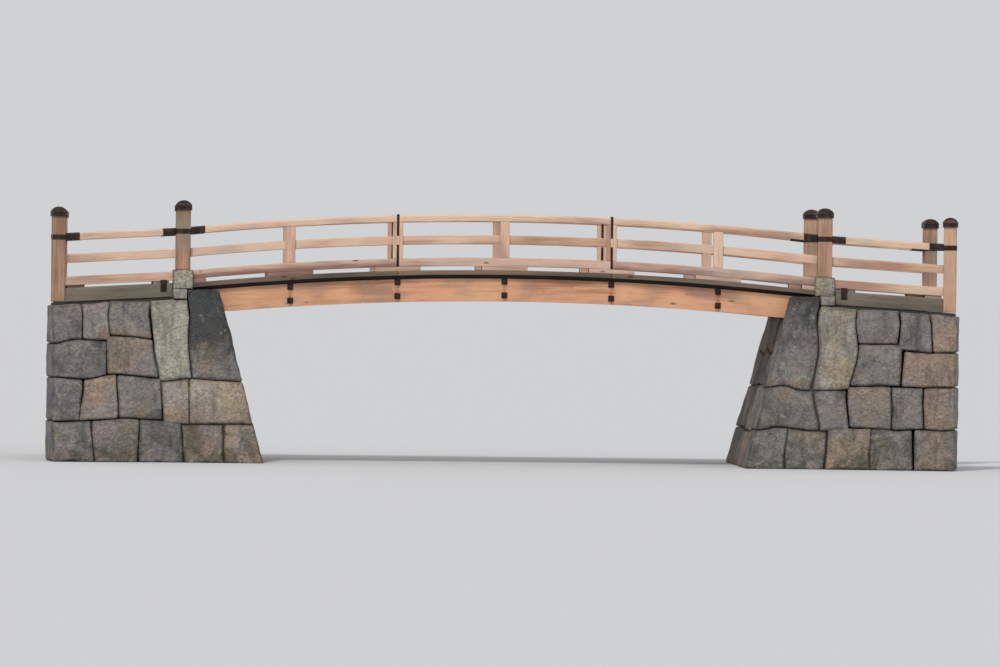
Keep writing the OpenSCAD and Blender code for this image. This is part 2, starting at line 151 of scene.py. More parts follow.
class Plan:
    """Sections, and the heights and places that follow from the sizes, in metres. A section is
    its width and height. deck, walk, bottom, post, middle and top are levels: they are measured
    along the arch's radius from the underside of the girders to the underside of the deck, its
    top, the bottom rail, the feet of the posts, the middle rail and the top rail."""

    def __init__(self, context):
        """Adds up the levels from the underside of the girders, and the places outwards."""
        sizes = context.scene.bridge_sizes
        self.sizes, self.masonry = sizes, context.scene.masonry_sizes
        self.girder_w, self.girder_h = 0.160, 0.280
        self.bearer_h, self.deck_t, self.slot_h = 0.045, 0.055, 0.050
        self.bottom_size, self.middle_size = (0.150, 0.105), (0.060, 0.105)
        self.top_size, self.top_crown = (0.110, 0.082), 0.014
        self.main_post_w, self.end_post_w, self.plinth_w = 0.175, 0.155, 0.240
        self.kerb_w, self.kerb_h, self.kerb_gap = 0.170, 0.165, 0.035
        lower_gap, upper_gap = 0.168, 0.172
        deck_edge, deck_overhang = 0.030, 0.065
        cheek_gap, pocket_clear, back_ledge, wall_past = 0.015, 0.010, 0.010, 0.130
        band = 0.004 + 2 * SEAT

        self.centre_z = sizes.crown_clear - sizes.arch_radius
        self.deck = self.girder_h + self.bearer_h
        self.walk = self.deck + self.deck_t
        self.bottom = self.walk + self.slot_h
        self.post = self.bottom + self.bottom_size[1]
        self.middle = self.post + lower_gap
        self.top = self.middle + self.middle_size[1] + upper_gap
        self.bottom_z, self.middle_z, self.top_z = (
            self.arc_z(level, sizes.half_span) for level in (self.bottom, self.middle, self.top)
        )
        self.kerb_z = self.bottom_z - self.kerb_gap - self.kerb_h
        self.masonry_top = self.arc_z(self.deck, sizes.timber_end) - cheek_gap
        self.seat_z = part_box("front_girder")[0].z

        self.stations = [i * sizes.bay - sizes.half_span for i in range(1, 6)]
        self.joints = self.stations[1::2]
        self.masonry_back = sizes.half_span + self.plinth_w / 2 + back_ledge
        self.wall_end = sizes.wing_length + wall_past
        self.slope = math.atan(sizes.wing_drop / sizes.wing_length)
        self.band_face = self.main_post_w / 2 + band
        self.end_band_face = sizes.wing_length - self.end_post_w / 2 - band
        self.deck_edge_y = sizes.rail_y + self.bottom_size[0] / 2 + deck_edge
        self.girder_face = self.deck_edge_y - deck_overhang
        self.girder_y = self.girder_face - self.girder_w / 2
        self.pocket_y = self.girder_face + pocket_clear

    def arc_z(self, level, x):
        """Height of the arch at a level: its centre plus the root of r squared less x squared."""
        return self.centre_z + np.sqrt((self.sizes.arch_radius + level) ** 2 - x * x)

    def wing_fall(self, along):
        """How far a wing has fallen: the distance along it times the tangent of its slope."""
        return along * math.tan(self.slope)

    def channel_x(self, z):
        """Distance from the middle to the battered channel face at height z."""
        fall = (self.masonry_top - z) * math.tan(self.masonry.front_batter)
        return self.sizes.half_span - self.masonry.face_setback - fall

    def side_out(self, z):
        """Distance from the balustrade line to the battered side face at height z."""
        return self.masonry.side_reach + (self.masonry_top - z) * math.tan(self.masonry.side_batter)

    def wander(self, points):
        """Shift along the wall and up for points of the masonry, so that its joints run crooked
        as in split stone. Broad noise gives it, and it fades to nothing near the wall's own
        edges: each factor is the distance from an edge as a share of the fade, up to 1."""
        fade, wave, kerb_joint, cheek, upright = 0.22, 0.47, 0.03, 0.05, 0.8
        x, y, z = np.abs(points[:, 0]), np.abs(points[:, 1]), points[:, 2]
        end = self.sizes.half_span + self.wall_end * math.cos(self.sizes.splay)
        flank = y > self.pocket_y + cheek
        head = np.minimum(self.masonry_top, self.kerb_z - kerb_joint) - z
        sides = np.where(flank, np.minimum(x - self.channel_x(z), end - x), self.pocket_y - y)
        hold = np.clip(head / fade, 0, 1) * np.clip(z / fade, 0, 1) * np.clip(sides / fade, 0, 1)
        along, up = (hold * smooth_noise(points, wave, WANDER_SEED + k) for k in range(2))
        x_shift, y_shift = np.where(flank, (along, 0 * along), (0 * along, along))
        return self.masonry.crooked * np.stack([x_shift, y_shift, upright * up], axis=1)


# Noise and meshes

# Large odd numbers that mix a cell's indices and its seed, in 32 bits
CELL_FACTORS = (73856093, 19349663, 83492791)
SEED_FACTOR = 2654435761
MIXES = ((15, 2246822519), (13, 3266489917))
BITS = np.uint64(2**32 - 1)
# Seeds of the noises that all stones share
DRIFT_SEED, WANDER_SEED = 40, 60


def lattice_values(cells, seed):
    """One fixed value in -1..1 for each whole-number cell: its indices times large numbers are
    joined bit by bit with the seed, and mixed by shifts and products."""
    x, y, z = (
        cells[..., k].astype(np.uint64) * np.uint64(factor)
        for k, factor in enumerate(CELL_FACTORS)
    )
    mixed = (x ^ y ^ z ^ np.uint64(seed * SEED_FACTOR % 2**32)) & BITS
    for shift, factor in MIXES:
        mixed = ((mixed ^ (mixed >> np.uint64(shift))) * np.uint64(factor)) & BITS
    mixed = mixed ^ (mixed >> np.uint64(16))
    return mixed / 2.0**31 - 1.0


def smooth_noise(points, size, seed):
    """Values at the corners of cubes of that size, blended by 3t^2 - 2t^3 along each axis."""
    scaled = points / size + 1000.0
    cells = np.floor(scaled).astype(np.int64)
    t = scaled - cells
    t = t * t * (3 - 2 * t)
    total = np.zeros(points.shape[:-1])
    for corner in np.ndindex(2, 2, 2):
        step = np.array(corner)
        weight = np.prod(np.where(step == 1, t, 1 - t), axis=-1)
        total += weight * lattice_values(cells + step, seed)
    return total


def layered_noise(points, size, seed):
    """Three layers of smooth noise, each half as large and 0.55 times as strong as the last,
    over 1.85, which is about the sum of the strengths."""
    return sum(
        0.55**k * smooth_noise(points, size / 2**k, seed + k) for k in range(3)
    ) / 1.85


def quad_areas(points, quads):
    """Area vectors of quads: half the cross product of their diagonals."""
    a, b, c, d = (points[quads[:, k]] for k in range(4))
    return np.cross(c - a, d - b) / 2


def ring_area(ring):
    """Area vector of an end face: half the sum of the cross products of neighbouring points."""
    return np.cross(ring, np.roll(ring, -1, axis=0)).sum(axis=0) / 2


def vertex_normals(points, quads, caps=()):
    """Unit normals at the vertices: the sum of the area vectors round each one."""
    total = np.zeros_like(points)
    areas = quad_areas(points, quads)
    for k in range(4):
        np.add.at(total, quads[:, k], areas)
    for cap in caps:
        total[cap] += ring_area(points[cap])
    size = np.linalg.norm(total, axis=1, keepdims=True)
    return total / np.maximum(size, 1e-12)


def enclosed_volume(points, quads, caps=()):
    """Volume by the divergence theorem: a third of each area vector times its face's middle,
    with the points taken from their own middle."""
    points = points - points.mean(axis=0)
    volume = (points[quads].mean(axis=1) * quad_areas(points, quads)).sum() / 3
    for cap in caps:
        volume += points[cap].mean(axis=0) @ ring_area(points[cap]) / 3
    return volume


class Pile:
    """Closed shapes gathered into one mesh, each turned so that its faces point outwards."""

    def __init__(self):
        """Starts empty."""
        self.points, self.normals, self.faces, self.marks = [], [], [], []
        self.count = 0

    def add(self, points, quads, caps=(), **marks):
        """A shape whose volume comes out negative is inside out, and its faces are reversed.
        marks are values for each vertex, or one for all: grain, tone, cut and so on."""
        if enclosed_volume(points, quads, caps) < 0:
            quads, caps = quads[:, ::-1], [cap[::-1] for cap in caps]
        self.points.append(points)
        self.normals.append(vertex_normals(points, quads, caps))
        self.faces += (quads + self.count).tolist()
        self.faces += [(cap + self.count).tolist() for cap in caps]
        n = len(points)
        self.marks.append({
            k: np.broadcast_to(v, (n, 3) if k == "grain" else (n,)) for k, v in marks.items()
        })
        self.count += n

    def make(self, name, finish, slot, *nodes):
        """The piece itself, riding on the bridge and standing for the nodes it replaces."""
        mesh = bpy.data.meshes.new(name)
        points = np.concatenate(self.points)
        mesh.from_pydata(points.tolist(), [], self.faces)
        mesh.polygons.foreach_set("use_smooth", [True] * len(mesh.polygons))
        for key in sorted(self.marks[0]):
            values = np.concatenate([
                m.get(key, np.zeros(len(p))) for m, p in zip(self.marks, self.points)
            ]).astype(np.float32)
            kind, field = ("FLOAT_VECTOR", "vector") if key == "grain" else ("FLOAT", "value")
            layer = mesh.attributes.new(key, kind, "POINT")
            layer.data.foreach_set(field, values.ravel())
        mesh.normals_split_custom_set_from_vertices(np.concatenate(self.normals).tolist())
        mesh.materials.append(finish)
        piece = bpy.data.objects.new(name, mesh)
        bpy.context.scene.collection.objects.link(piece)
        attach(piece, "root")
        if nodes:
            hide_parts(*nodes)


def tubes(counts):
    """Quads between closed rings of points that follow one another, and the two end faces of
    each tube. The last two counts are the rings of a tube and the points of a ring."""
    ids = np.arange(math.prod(counts)).reshape(counts)
    after = np.roll(ids, -1, axis=-1)
    quads = np.stack(
        [ids[..., :-1, :], after[..., :-1, :], after[..., 1:, :], ids[..., 1:, :]], axis=-1
    )
    ends = ids.reshape(-1, *counts[-2:])
    return quads.reshape(-1, 4), [*ends[:, 0, ::-1], *ends[:, -1]]


def section(size, arris, inset=0.0, crown=0.0):
    """Outline of a timber, across and up: quarter circles at the corners of a rectangle, and a
    top that falls by crown times the square of the share of the half width."""
    half, low, high = size[0] / 2 - inset, inset, size[1] - inset
    r = max(arris - inset, arris / 10)
    turn = np.radians([0.0, 45.0, 90.0])
    corners = [
        ((half - r, low + r), turn - math.pi / 2),
        ((half - r, high - r), turn),
        ((r - half, high - r), turn + math.pi / 2),
        ((r - half, low + r), turn + math.pi),
    ]
    parts = [np.stack([c[0] + r * np.cos(a), c[1] + r * np.sin(a)], axis=1) for c, a in corners]
    if crown:
        across = np.linspace(half - r, r - half, 9)[1:-1]
        parts.insert(2, np.stack([across, np.full_like(across, high)], axis=1))
    outline = np.concatenate(parts)
    if crown:
        share = outline[:, 0] / half
        lift = np.clip((outline[:, 1] - low) / (high - low), 0, 1)
        outline[:, 1] -= crown * share**2 * lift
    return outline


def carried(pile, size, arris, long, place, tone, rng, step=0.16, crown=0.0, fade=(0.0, 0.0),
            run=(0.0, 0.0)):
    """A section carried from one end to the other of a path. place takes the share of the way,
    across and up. The ends are rounded as the section's corners are: a circle's sine gives the
    way in, and its cosine how far the section shrinks. fade is added to the tone, from the
    foot to the head of the section in a straight line, and run from one end to the other.
    grain is the place along, across and up in the timber, which starts somewhere else in the
    pattern for each one, and cut marks its end grain."""
    turn = np.radians([90.0, 35.0, 0.0])
    ways, insets = arris * (1 - np.sin(turn)), arris * (1 - np.cos(turn))
    n = max(2, math.ceil(long / step))
    middle = np.linspace(arris, long - arris, n + 1)[1:-1]
    along = np.concatenate([ways, middle, (long - ways)[::-1]])
    inset = np.concatenate([insets, np.zeros(n - 1), insets[::-1]])
    rings = np.array([section(size, arris, i, crown) for i in inset])
    across, up = rings[..., 0], rings[..., 1]
    share = (along / long)[:, None] + 0 * across
    points = np.stack(place(share, across, up), axis=-1)
    start = rng.uniform(0, 40, 3)
    grain = np.stack([share * long + start[0], across + start[1], up + start[2]], axis=-1)
    cut = np.zeros_like(across)
    cut[[0, -1]] = 1.0
    shade = tone + np.interp(up, (0, size[1]), fade) + np.interp(share, (0, 1), run)
    pile.add(
        points.reshape(-1, 3), *tubes(across.shape),
        grain=grain.reshape(-1, 3), cut=cut.ravel(), tone=shade.ravel(),
    )


def box_lattice(cells):
    """Whole-number points on the six sides of a lattice of cells, and the quads between them."""
    ids = np.full(cells + 1, -1)
    grid = np.indices(ids.shape)
    skin = ((grid == 0) | (grid == cells.reshape(3, 1, 1, 1))).any(axis=0)
    ids[skin] = np.arange(skin.sum())
    quads = []
    for axis in range(3):
        for side in (0, cells[axis]):
            face = ids.take(side, axis=axis)
            quad = np.stack([face[:-1, :-1], face[1:, :-1], face[1:, 1:], face[:-1, 1:]], axis=-1)
            flip = (side == 0) != (axis == 1)
            quads.append((quad[..., ::-1] if flip else quad).reshape(-1, 4))
    return np.argwhere(skin), np.concatenate(quads)


def rounded_box(cells, size, radius):
    """A box with rounded edges, as shares -1..1 of its half sizes: each lattice point is moved
    to the radius from the nearest point of the box that is smaller by the radius."""
    cells = np.broadcast_to(cells, 3)
    lattice, quads = box_lattice(cells)
    half = np.asarray(size, float) / 2
    core = half - radius
    flat = core * ((lattice - 1) / (cells - 2) * 2 - 1)
    point = np.where(lattice == 0, -half, np.where(lattice == cells, half, flat))
    nearest = np.clip(point, -core, core)
    away = point - nearest
    far = np.linalg.norm(away, axis=1, keepdims=True)
    return (nearest + away / far * radius) / half, quads


def block(pile, corners, radius, cells=4, rough=0.0, seed=0, bulge=0.0, warp=0.0,
          pale=(0.5, 0.5), tone=0.5, wander=None):
    """A rounded box fitted to eight corners by blending them along the three axes, and then
    moved along its normals by layered noise. bulge swells the side where the second axis is -1
    by (1 - u^4)(1 - w^4). warp and wander shift it by noise that neighbours share, so that the
    joints stay closed. pale goes from foot to head, and the edge mark is the second largest of
    the three shares, which is 1 along the edges."""
    rough_size, drift_size = 0.16, 0.24
    size = [
        np.linalg.norm(np.diff(corners, axis=axis), axis=-1).mean() for axis in range(3)
    ]
    radius = min(radius, 0.4 * min(size))
    share, quads = rounded_box(cells, size, radius)
    t = (share + 1) / 2
    points = np.zeros_like(t)
    for corner in np.ndindex(2, 2, 2):
        weight = np.prod(np.where(np.array(corner) == 1, t, 1 - t), axis=1)
        points += weight[:, None] * corners[corner]
    if wander:
        points = points + wander(points)
    if rough:
        normals = vertex_normals(points, quads)
        if enclosed_volume(points, quads) < 0:
            normals = -normals
        swell = np.clip(-share[:, 1], 0, 1) * (1 - share[:, 0] ** 4) * (1 - share[:, 2] ** 4)
        move = rough * layered_noise(points, rough_size, seed) + bulge * swell
        drift = [smooth_noise(points, drift_size, DRIFT_SEED + k) for k in range(3)]
        points = points + normals * move[:, None] + warp * np.stack(drift, axis=1)
        points[:, 2] = np.maximum(points[:, 2], 0.0)
    pile.add(
        points, quads, tone=tone, pale=np.interp(share[:, 2], (-1, 1), pale),
        edge=np.sort(np.abs(share), axis=1)[:, 1],
    )


def eight_corners(corner):
    """The corners of a block. corner takes 0 or 1 for each of the block's three directions."""
    return np.array(
        [[[corner(i, j, k) for k in (0, 1)] for j in (0, 1)] for i in (0, 1)], float
    )


def box_corners(low, high):
    """The eight corners of an upright box."""
    ends = (low, high)
    return eight_corners(lambda i, j, k: (ends[i][0], ends[j][1], ends[k][2]))


# Places along the bridge


def arch_place(plan, x0, x1, y, level):
    """Along the arch between two plumb ends."""
    def place(share, across, up):
        """At radius r the angle goes evenly from asin(x0 / r) to asin(x1 / r), so that each
        height keeps its own circle."""
        r = plan.sizes.arch_radius + level + up
        turn = (1 - share) * np.arcsin(x0 / r) + share * np.arcsin(x1 / r)
        return r * np.sin(turn), y + across, plan.centre_z + r * np.cos(turn)
    return place


def post_place(plan, x, y, size, foot, head):
    """Up a plumb post whose foot and head follow the arch at two levels."""
    def place(share, across, up):
        """Evenly from the arch at the foot's level to the arch at the head's."""
        px = x + up - size[1] / 2
        low, high = plan.arc_z(foot, px), plan.arc_z(head, px)
        return px, y + across, low + share * (high - low)
    return place


def at_corner(plan, sx, sy, x, y, z):
    """A point given outwards from a main post, at one of the four corners."""
    return sx * (plan.sizes.half_span + x), sy * (plan.sizes.rail_y + y), z


def turned(plan, along, across):
    """Turns a wing's own directions by the splay angle."""
    c, s = math.cos(plan.sizes.splay), math.sin(plan.sizes.splay)
    return along * c - across * s, along * s + across * c


def wing_place(plan, sx, sy, begin, end, z0, level=False):
    """Down a wing. A rail starts flush with the side of the main post, and a level piece has
    both ends square to the wing."""
    c, s = math.cos(plan.sizes.splay), math.sin(plan.sizes.splay)

    def place(share, across, up):
        """A rail's distance along the wing starts at (begin + across sin) / cos of the splay,
        and its depth is measured square to its slope. A level piece's depth is upright."""
        start, rise = begin, up
        if not level:
            start, rise = (begin + across * s) / c, up / math.cos(plan.slope)
        along = start + share * (end - start)
        x, y = turned(plan, along, across)
        return at_corner(plan, sx, sy, x, y, z0 - plan.wing_fall(along) + rise)
    return place


def upright_place(plan, sx, sy, along, size, foot, top, splayed):
    """Up a square post that stands at a corner, or at the end of a wing."""
    def place(share, across, up):
        """Evenly from foot to top, and turned with the wing where it stands on one."""
        a = along + up - size / 2
        x, y = turned(plan, a, across) if splayed else (a, across)
        return at_corner(plan, sx, sy, x, y, foot + share * (top - foot))
    return place


# Finishes


def times(tint, factor):
    """A colour with each part multiplied by the factor."""
    return tuple(factor * part for part in tint)


class Shader:
    """A material's node tree, with short ways to add and link its nodes."""

    def __init__(self, name):
        """Starts with a surface that is linked to the output."""
        self.material = bpy.data.materials.new(name)
        self.material.use_nodes = True
        self.tree = self.material.node_tree
        self.tree.nodes.clear()
        self.surface = self.add("BsdfPrincipled")
        output = self.add("OutputMaterial")
        self.tree.links.new(self.surface.outputs[0], output.inputs[0])

    def add(self, kind, sockets=None, **settings):
        """A node with its settings, and with a value or a link for each socket."""
        node = self.tree.nodes.new("ShaderNode" + kind)
        for key, value in settings.items():
            setattr(node, key, value)
        for key, value in (sockets or {}).items():
            self.feed(node.inputs[key], value)
        return node

    def feed(self, socket, value):
        """Links another node's output to the socket, or sets the socket to a plain value."""
        if isinstance(value, bpy.types.NodeSocket):
            self.tree.links.new(value, socket)
        else:
            socket.default_value = value

    def mark(self, name, output="Fac"):
        """One of the marks that a pile gives its vertices."""
        return self.add("Attribute", attribute_name=name).outputs[output]

    def place(self):
        """The place on the object, in metres."""
        return self.add("TexCoord").outputs["Object"]

    def scaled(self, vector, scale, location=(0, 0, 0)):
        """The vector times the scale plus the location, axis by axis."""
        return self.add(
            "Mapping", {"Vector": vector, "Scale": scale, "Location": location}
        ).outputs[0]

    def noise(self, vector, scale, detail=4.0, rough=0.55, distortion=0.0):
        """Layers of noise, each twice as fine and rough times as strong as the last."""
        return self.add("TexNoise", {
            "Vector": vector, "Scale": scale, "Detail": detail, "Roughness": rough,
            "Distortion": distortion,
        }).outputs["Fac"]

    def math(self, operation, *values):
        """One step of arithmetic on the values."""
        node = self.add("Math", operation=operation)
        for k, value in enumerate(values):
            self.feed(node.inputs[k], value)
        return node.outputs[0]

    def plus(self, value, other, factor, centre=0.0):
        """The value plus the factor times what the other has over the centre."""
        if centre:
            other = self.math("SUBTRACT", other, centre)
        return self.math("ADD", value, self.math("MULTIPLY", other, factor))

    def between(self, value, low, high, start=0.0, end=1.0):
        """Leads from start to end by 3t^2 - 2t^3, while the value goes from low to high."""
        return self.add("MapRange", {
            "Value": value, "From Min": low, "From Max": high, "To Min": start, "To Max": end,
        }, interpolation_type="SMOOTHSTEP").outputs[0]

    def mix(self, share, first, second, blend="MIX"):
        """Leads from the first colour to the second, or to their blend, by the share."""
        node = self.add("Mix", data_type="RGBA", blend_type=blend)
        self.feed(node.inputs[0], share)
        for socket, value in ((node.inputs[6], first), (node.inputs[7], second)):
            whole = isinstance(value, bpy.types.NodeSocket)
            self.feed(socket, value if whole else (*value, 1.0))
        return node.outputs[2]

    def stained(self, tint, share, hue):
        """Leads from the tint to the tint times a hue, by the share."""
        return self.mix(share, tint, self.mix(1.0, tint, hue, "MULTIPLY"))

    def finish(self, tint, rough, height, distance, metallic=0.0, strength=0.6):
        """Gives the surface its tint, its roughness and a bump as deep as the distance."""
        bump = self.add("Bump", {"Strength": strength, "Distance": distance, "Height": height})
        self.feed(self.surface.inputs["Base Color"], tint)
        self.feed(self.surface.inputs["Roughness"], rough)
        self.feed(self.surface.inputs["Normal"], bump.outputs[0])
        self.surface.inputs["Metallic"].default_value = metallic
        return self.material


def timber_finish(name, pale, deep, grey, weather, laminated=False, bolted=0.0):
    """Year rings are the fraction of the distance from the pith over the rings' spacing, bent
    by noise. Fibres are noise drawn out along the grain, the figure is broader noise, and a
    blush and grey weather lie in patches. Laminated timber changes tone from board to board,
    and bolted timber has a dark run wherever a bolt's spacing goes into the place a whole
    number of times. Each noise has so many features to a metre along, across and up."""
    ring_width, board_high, board_long, board_lap = 0.0068, 0.040, 1.37, 0.377
    paint = Shader(name)
    grain, tone, cut = paint.mark("grain", "Vector"), paint.mark("tone"), paint.mark("cut")
    along, across, up = paint.add("SeparateXYZ", {0: grain}).outputs
    fibres = paint.noise(paint.scaled(grain, (2.2, 60, 60)), 1.0, 5.0, 0.6)
    figure = paint.noise(paint.scaled(grain, (0.9, 11, 11)), 1.0, 3.0, 0.5, 0.8)
    sweep = paint.noise(paint.scaled(grain, (0.8, 1.5, 1.5)), 1.0, 2.0)
    bend = paint.noise(paint.scaled(grain, (0.7, 3.5, 3.5)), 1.0, 4.0, 0.45)
    blush = paint.noise(paint.scaled(grain, (0.9, 2.2, 2.2), (5, 1, 3)), 1.0, 3.0)
    patch = paint.noise(paint.scaled(grain, (1.6, 3, 3)), 1.0, 3.0)
    pores = paint.noise(paint.scaled(grain, (5, 260, 260)), 1.0, 3.0, 0.6)
    knots = paint.add("TexVoronoi", {"Vector": paint.scaled(grain, (3.0, 2.6, 8)), "Scale": 1.0})

    heart = paint.plus(paint.math("MULTIPLY", figure, 0.62), tone, 0.42)
    heart = paint.plus(heart, fibres, 0.6, 0.5)
    heart = paint.plus(heart, sweep, 1.3, 0.5)
    pith = paint.math("SQRT", paint.plus(paint.math("MULTIPLY", across, across), up, up))
    ring = paint.plus(paint.math("DIVIDE", pith, ring_width), bend, 9.0)
    if laminated:
        layer = paint.math("FLOOR", paint.math("DIVIDE", up, board_high))
        run = paint.plus(paint.math("DIVIDE", along, board_long), layer, board_lap)
        cell = paint.add("CombineXYZ", {0: paint.math("FLOOR", run), 1: layer}).outputs[0]
        board = paint.add("TexWhiteNoise", {"Vector": cell}).outputs["Value"]
        heart = paint.plus(heart, board, 0.22, 0.5)
        ring = paint.plus(ring, board, 23.0)
    late = paint.between(paint.math("FRACT", ring), 0.30, 0.94)

    tint = paint.mix(paint.between(heart, 0.28, 0.78), pale, deep)
    tint = paint.stained(tint, paint.between(blush, 0.46, 0.62), (0.98, 0.90, 0.94))
    tint = paint.stained(tint, paint.math("MULTIPLY", late, 0.55), (0.74, 0.62, 0.55))
    knot = paint.between(knots.outputs["Distance"], 0.06, 0.17, 0.8, 0.0)
    knot_free = 0.48 if laminated else 0.62
    rare = paint.between(knots.outputs["Color"], knot_free, knot_free + 0.04)
    tint = paint.mix(paint.math("MULTIPLY", knot, rare), tint, times(deep, 0.35))
    tint = paint.mix(paint.between(patch, 0.46, 0.72, 0.0, weather), tint, grey)
    if bolted:
        x = paint.add("SeparateXYZ", {0: paint.place()}).outputs[0]
        near_bolt = paint.between(paint.math("PINGPONG", x, bolted / 2), 0.006, 0.034, 0.8, 0.0)
        tint = paint.mix(paint.math("MULTIPLY", near_bolt, fibres), tint, times(deep, 0.4))
    dark_fibres = paint.between(fibres, 0.30, 0.44, 0.4, 0.0)
    dark_pores = paint.between(pores, 0.34, 0.46, 0.35, 0.0)
    tint = paint.mix(paint.math("MAXIMUM", dark_fibres, dark_pores), tint, times(deep, 0.5))
    tint = paint.mix(paint.math("MULTIPLY", cut, 0.45), tint, times(deep, 0.45))
    height = paint.plus(fibres, paint.math("ADD", late, pores), 0.35)
    rough = paint.between(fibres, 0.2, 0.8, 0.85, 0.66)
    return paint.finish(tint, rough, height, 0.003)


def stone_finish(name, colours):
    """The pale mark leads from dark through mid to pale stone. Broad noise makes it warmer,
    more purple or stained in upright runs, fine noise and cells speckle it, moss darkens its
    foot, and dirt gathers along its edges. Coarse noise and chips stand for the tool marks of
    its hewn face, which is darker where it is cut deeper."""
    paint = Shader(name)
    place = paint.place()
    tone, pale, edge = paint.mark("tone"), paint.mark("pale"), paint.mark("edge")
    broad = paint.noise(place, 3.1, 6.0, 0.62, 0.5)
    fine = paint.noise(place, 34.0, 6.0, 0.65)
    runs = paint.noise(paint.scaled(place, (8, 8, 0.9)), 1.0, 5.0, 0.65)
    lichen = paint.noise(place, 7.0, 6.0, 0.72)
    moss = paint.noise(place, 4.1, 5.0, 0.65, 1.2)
    hewn = paint.noise(paint.scaled(place, (1, 1, 1), (3, 5, 9)), 13.0, 6.0, 0.68, 0.6)
    crystals, chips = (
        paint.add("TexVoronoi", {"Vector": place, "Scale": scale}).outputs["Distance"]
        for scale in (95.0, 26.0)
    )

    share = paint.plus(paint.plus(pale, broad, 1.1, 0.5), tone, 0.35, 0.5)
    tint = paint.mix(paint.between(share, 0.0, 0.5), colours.stone_dark, colours.stone_mid)
    tint = paint.mix(paint.between(share, 0.5, 1.0), tint, colours.stone_pale)
    for scale, low, high, hue in (
        (1.9, 0.44, 0.66, (1.12, 0.97, 0.78)), (2.7, 0.50, 0.70, (1.03, 0.95, 1.0)),
    ):
        cloud = paint.noise(paint.scaled(place, (1, 1, 1), (scale, 7, 3)), scale, 4.0, 0.6)
        cloud = paint.plus(cloud, tone, 0.22, 0.5)
        tint = paint.stained(tint, paint.between(cloud, low, high), hue)
    tint = paint.stained(tint, paint.between(runs, 0.50, 0.68, 0.0, 0.6), (0.42, 0.41, 0.40))
    speckle = paint.between(paint.plus(fine, crystals, 0.35), 0.42, 0.78, 1.0, 0.0)
    tint = paint.stained(tint, speckle, (0.52, 0.50, 0.50))
    tint = paint.mix(paint.between(lichen, 0.57, 0.66, 0.0, 0.5), tint, (0.36, 0.37, 0.29))
    foot = paint.between(paint.add("SeparateXYZ", {0: place}).outputs[2], 0.0, 0.8, 1.0, 0.0)
    damp = paint.math("MULTIPLY", paint.between(moss, 0.42, 0.62, 0.0, 0.65), foot)
    tint = paint.mix(damp, tint, (0.045, 0.055, 0.03))
    rim = paint.plus(edge, moss, 0.25, 0.5)
    tint = paint.stained(tint, paint.between(rim, 0.86, 1.02, 0.0, 0.7), (0.35, 0.34, 0.31))
    tint = paint.stained(tint, paint.between(hewn, 0.36, 0.52, 0.45, 0.0), (0.55, 0.54, 0.53))
    rugged = paint.plus(hewn, chips, 0.35)
    height = paint.plus(paint.math("MULTIPLY", fine, 0.8), rugged, 1.7)
    rough = paint.between(fine, 0.2, 0.8, 0.78, 0.95)
    return paint.finish(tint, rough, height, 0.022, strength=1.0)


def bedding_finish(name, colours):
    """Dark earth with paler grit, by fine noise."""
    paint = Shader(name)
    grit = paint.noise(paint.place(), 60.0, 4.0)
    tint = paint.mix(grit, colours.bedding, times(colours.bedding, 2.2))
    return paint.finish(tint, 0.95, grit, 0.006)


def metal_finish(name, colours):
    """Dark patina with browner worn patches and faint runs down the sides."""
    paint = Shader(name)
    place = paint.place()
    worn = paint.noise(place, 16.0, 5.0, 0.6)
    runs = paint.noise(paint.scaled(place, (38, 38, 3.5)), 1.0, 3.0)
    pits = paint.math("ADD", paint.noise(place, 120.0, 3.0), worn)
    share = paint.plus(paint.math("MULTIPLY", worn, 0.7), runs, 0.3)
    tint = paint.mix(paint.between(share, 0.44, 0.64), colours.metal, colours.metal_worn)
    rough = paint.between(pits, 0.7, 1.3, 0.38, 0.62)
    return paint.finish(tint, rough, pits, 0.0015, metallic=0.75)


def finishes(context):
    """Makes each finish once, and hands it out by name after that. A timber's finish is its
    pale, deep and weathered colours and how much of it is weathered."""
    c, bay = context.scene.finish_colours, context.scene.bridge_sizes.bay
    timbers = {
        "bleached_rail_wood": (c.rail_pale, c.rail_deep, (0.42, 0.38, 0.34), 0.35),
        "damp_rail_wood": (c.foot_pale, c.foot_deep, (0.40, 0.35, 0.32), 0.5),
        "tanned_post_wood": (c.post_pale, c.post_deep, (0.30, 0.265, 0.20), 0.65),
        # Painted shade: the bearers' near-black timber stands for the deep shade in the gap under
        # the deck
        "bearer_wood": (
            times(c.deck_deep, 0.25), times(c.deck_deep, 0.1), (0.02, 0.02, 0.02), 0.5),
        "laminated_girder_wood": (
            c.girder_pale, c.girder_deep, (0.37, 0.225, 0.155), 0.75, True, bay),
        "mossy_kerb_wood": (c.kerb_pale, c.kerb_deep, (0.17, 0.17, 0.14), 0.7),
        "stained_edge_wood": (c.edge_pale, c.edge_deep, (0.15, 0.125, 0.09), 0.5),
        "silvered_deck_wood": (c.deck_pale, c.deck_deep, (0.30, 0.29, 0.27), 0.6),
    }
    others = {"hewn_stone": stone_finish, "bedding": bedding_finish, "dark_patina": metal_finish}
    look = {m.name: m for m in bpy.data.materials}
    for name, values in timbers.items():
        if name not in look:
            look[name] = timber_finish(name, *values)
    for name, finish in others.items():
        if name not in look:
            look[name] = finish(name, c)
    return look


# Pieces


def at_hand(context, seed):
    """What an operator starts from: the plan, the finishes and random draws from its seed."""
    return Plan(context), finishes(context), np.random.default_rng(seed)


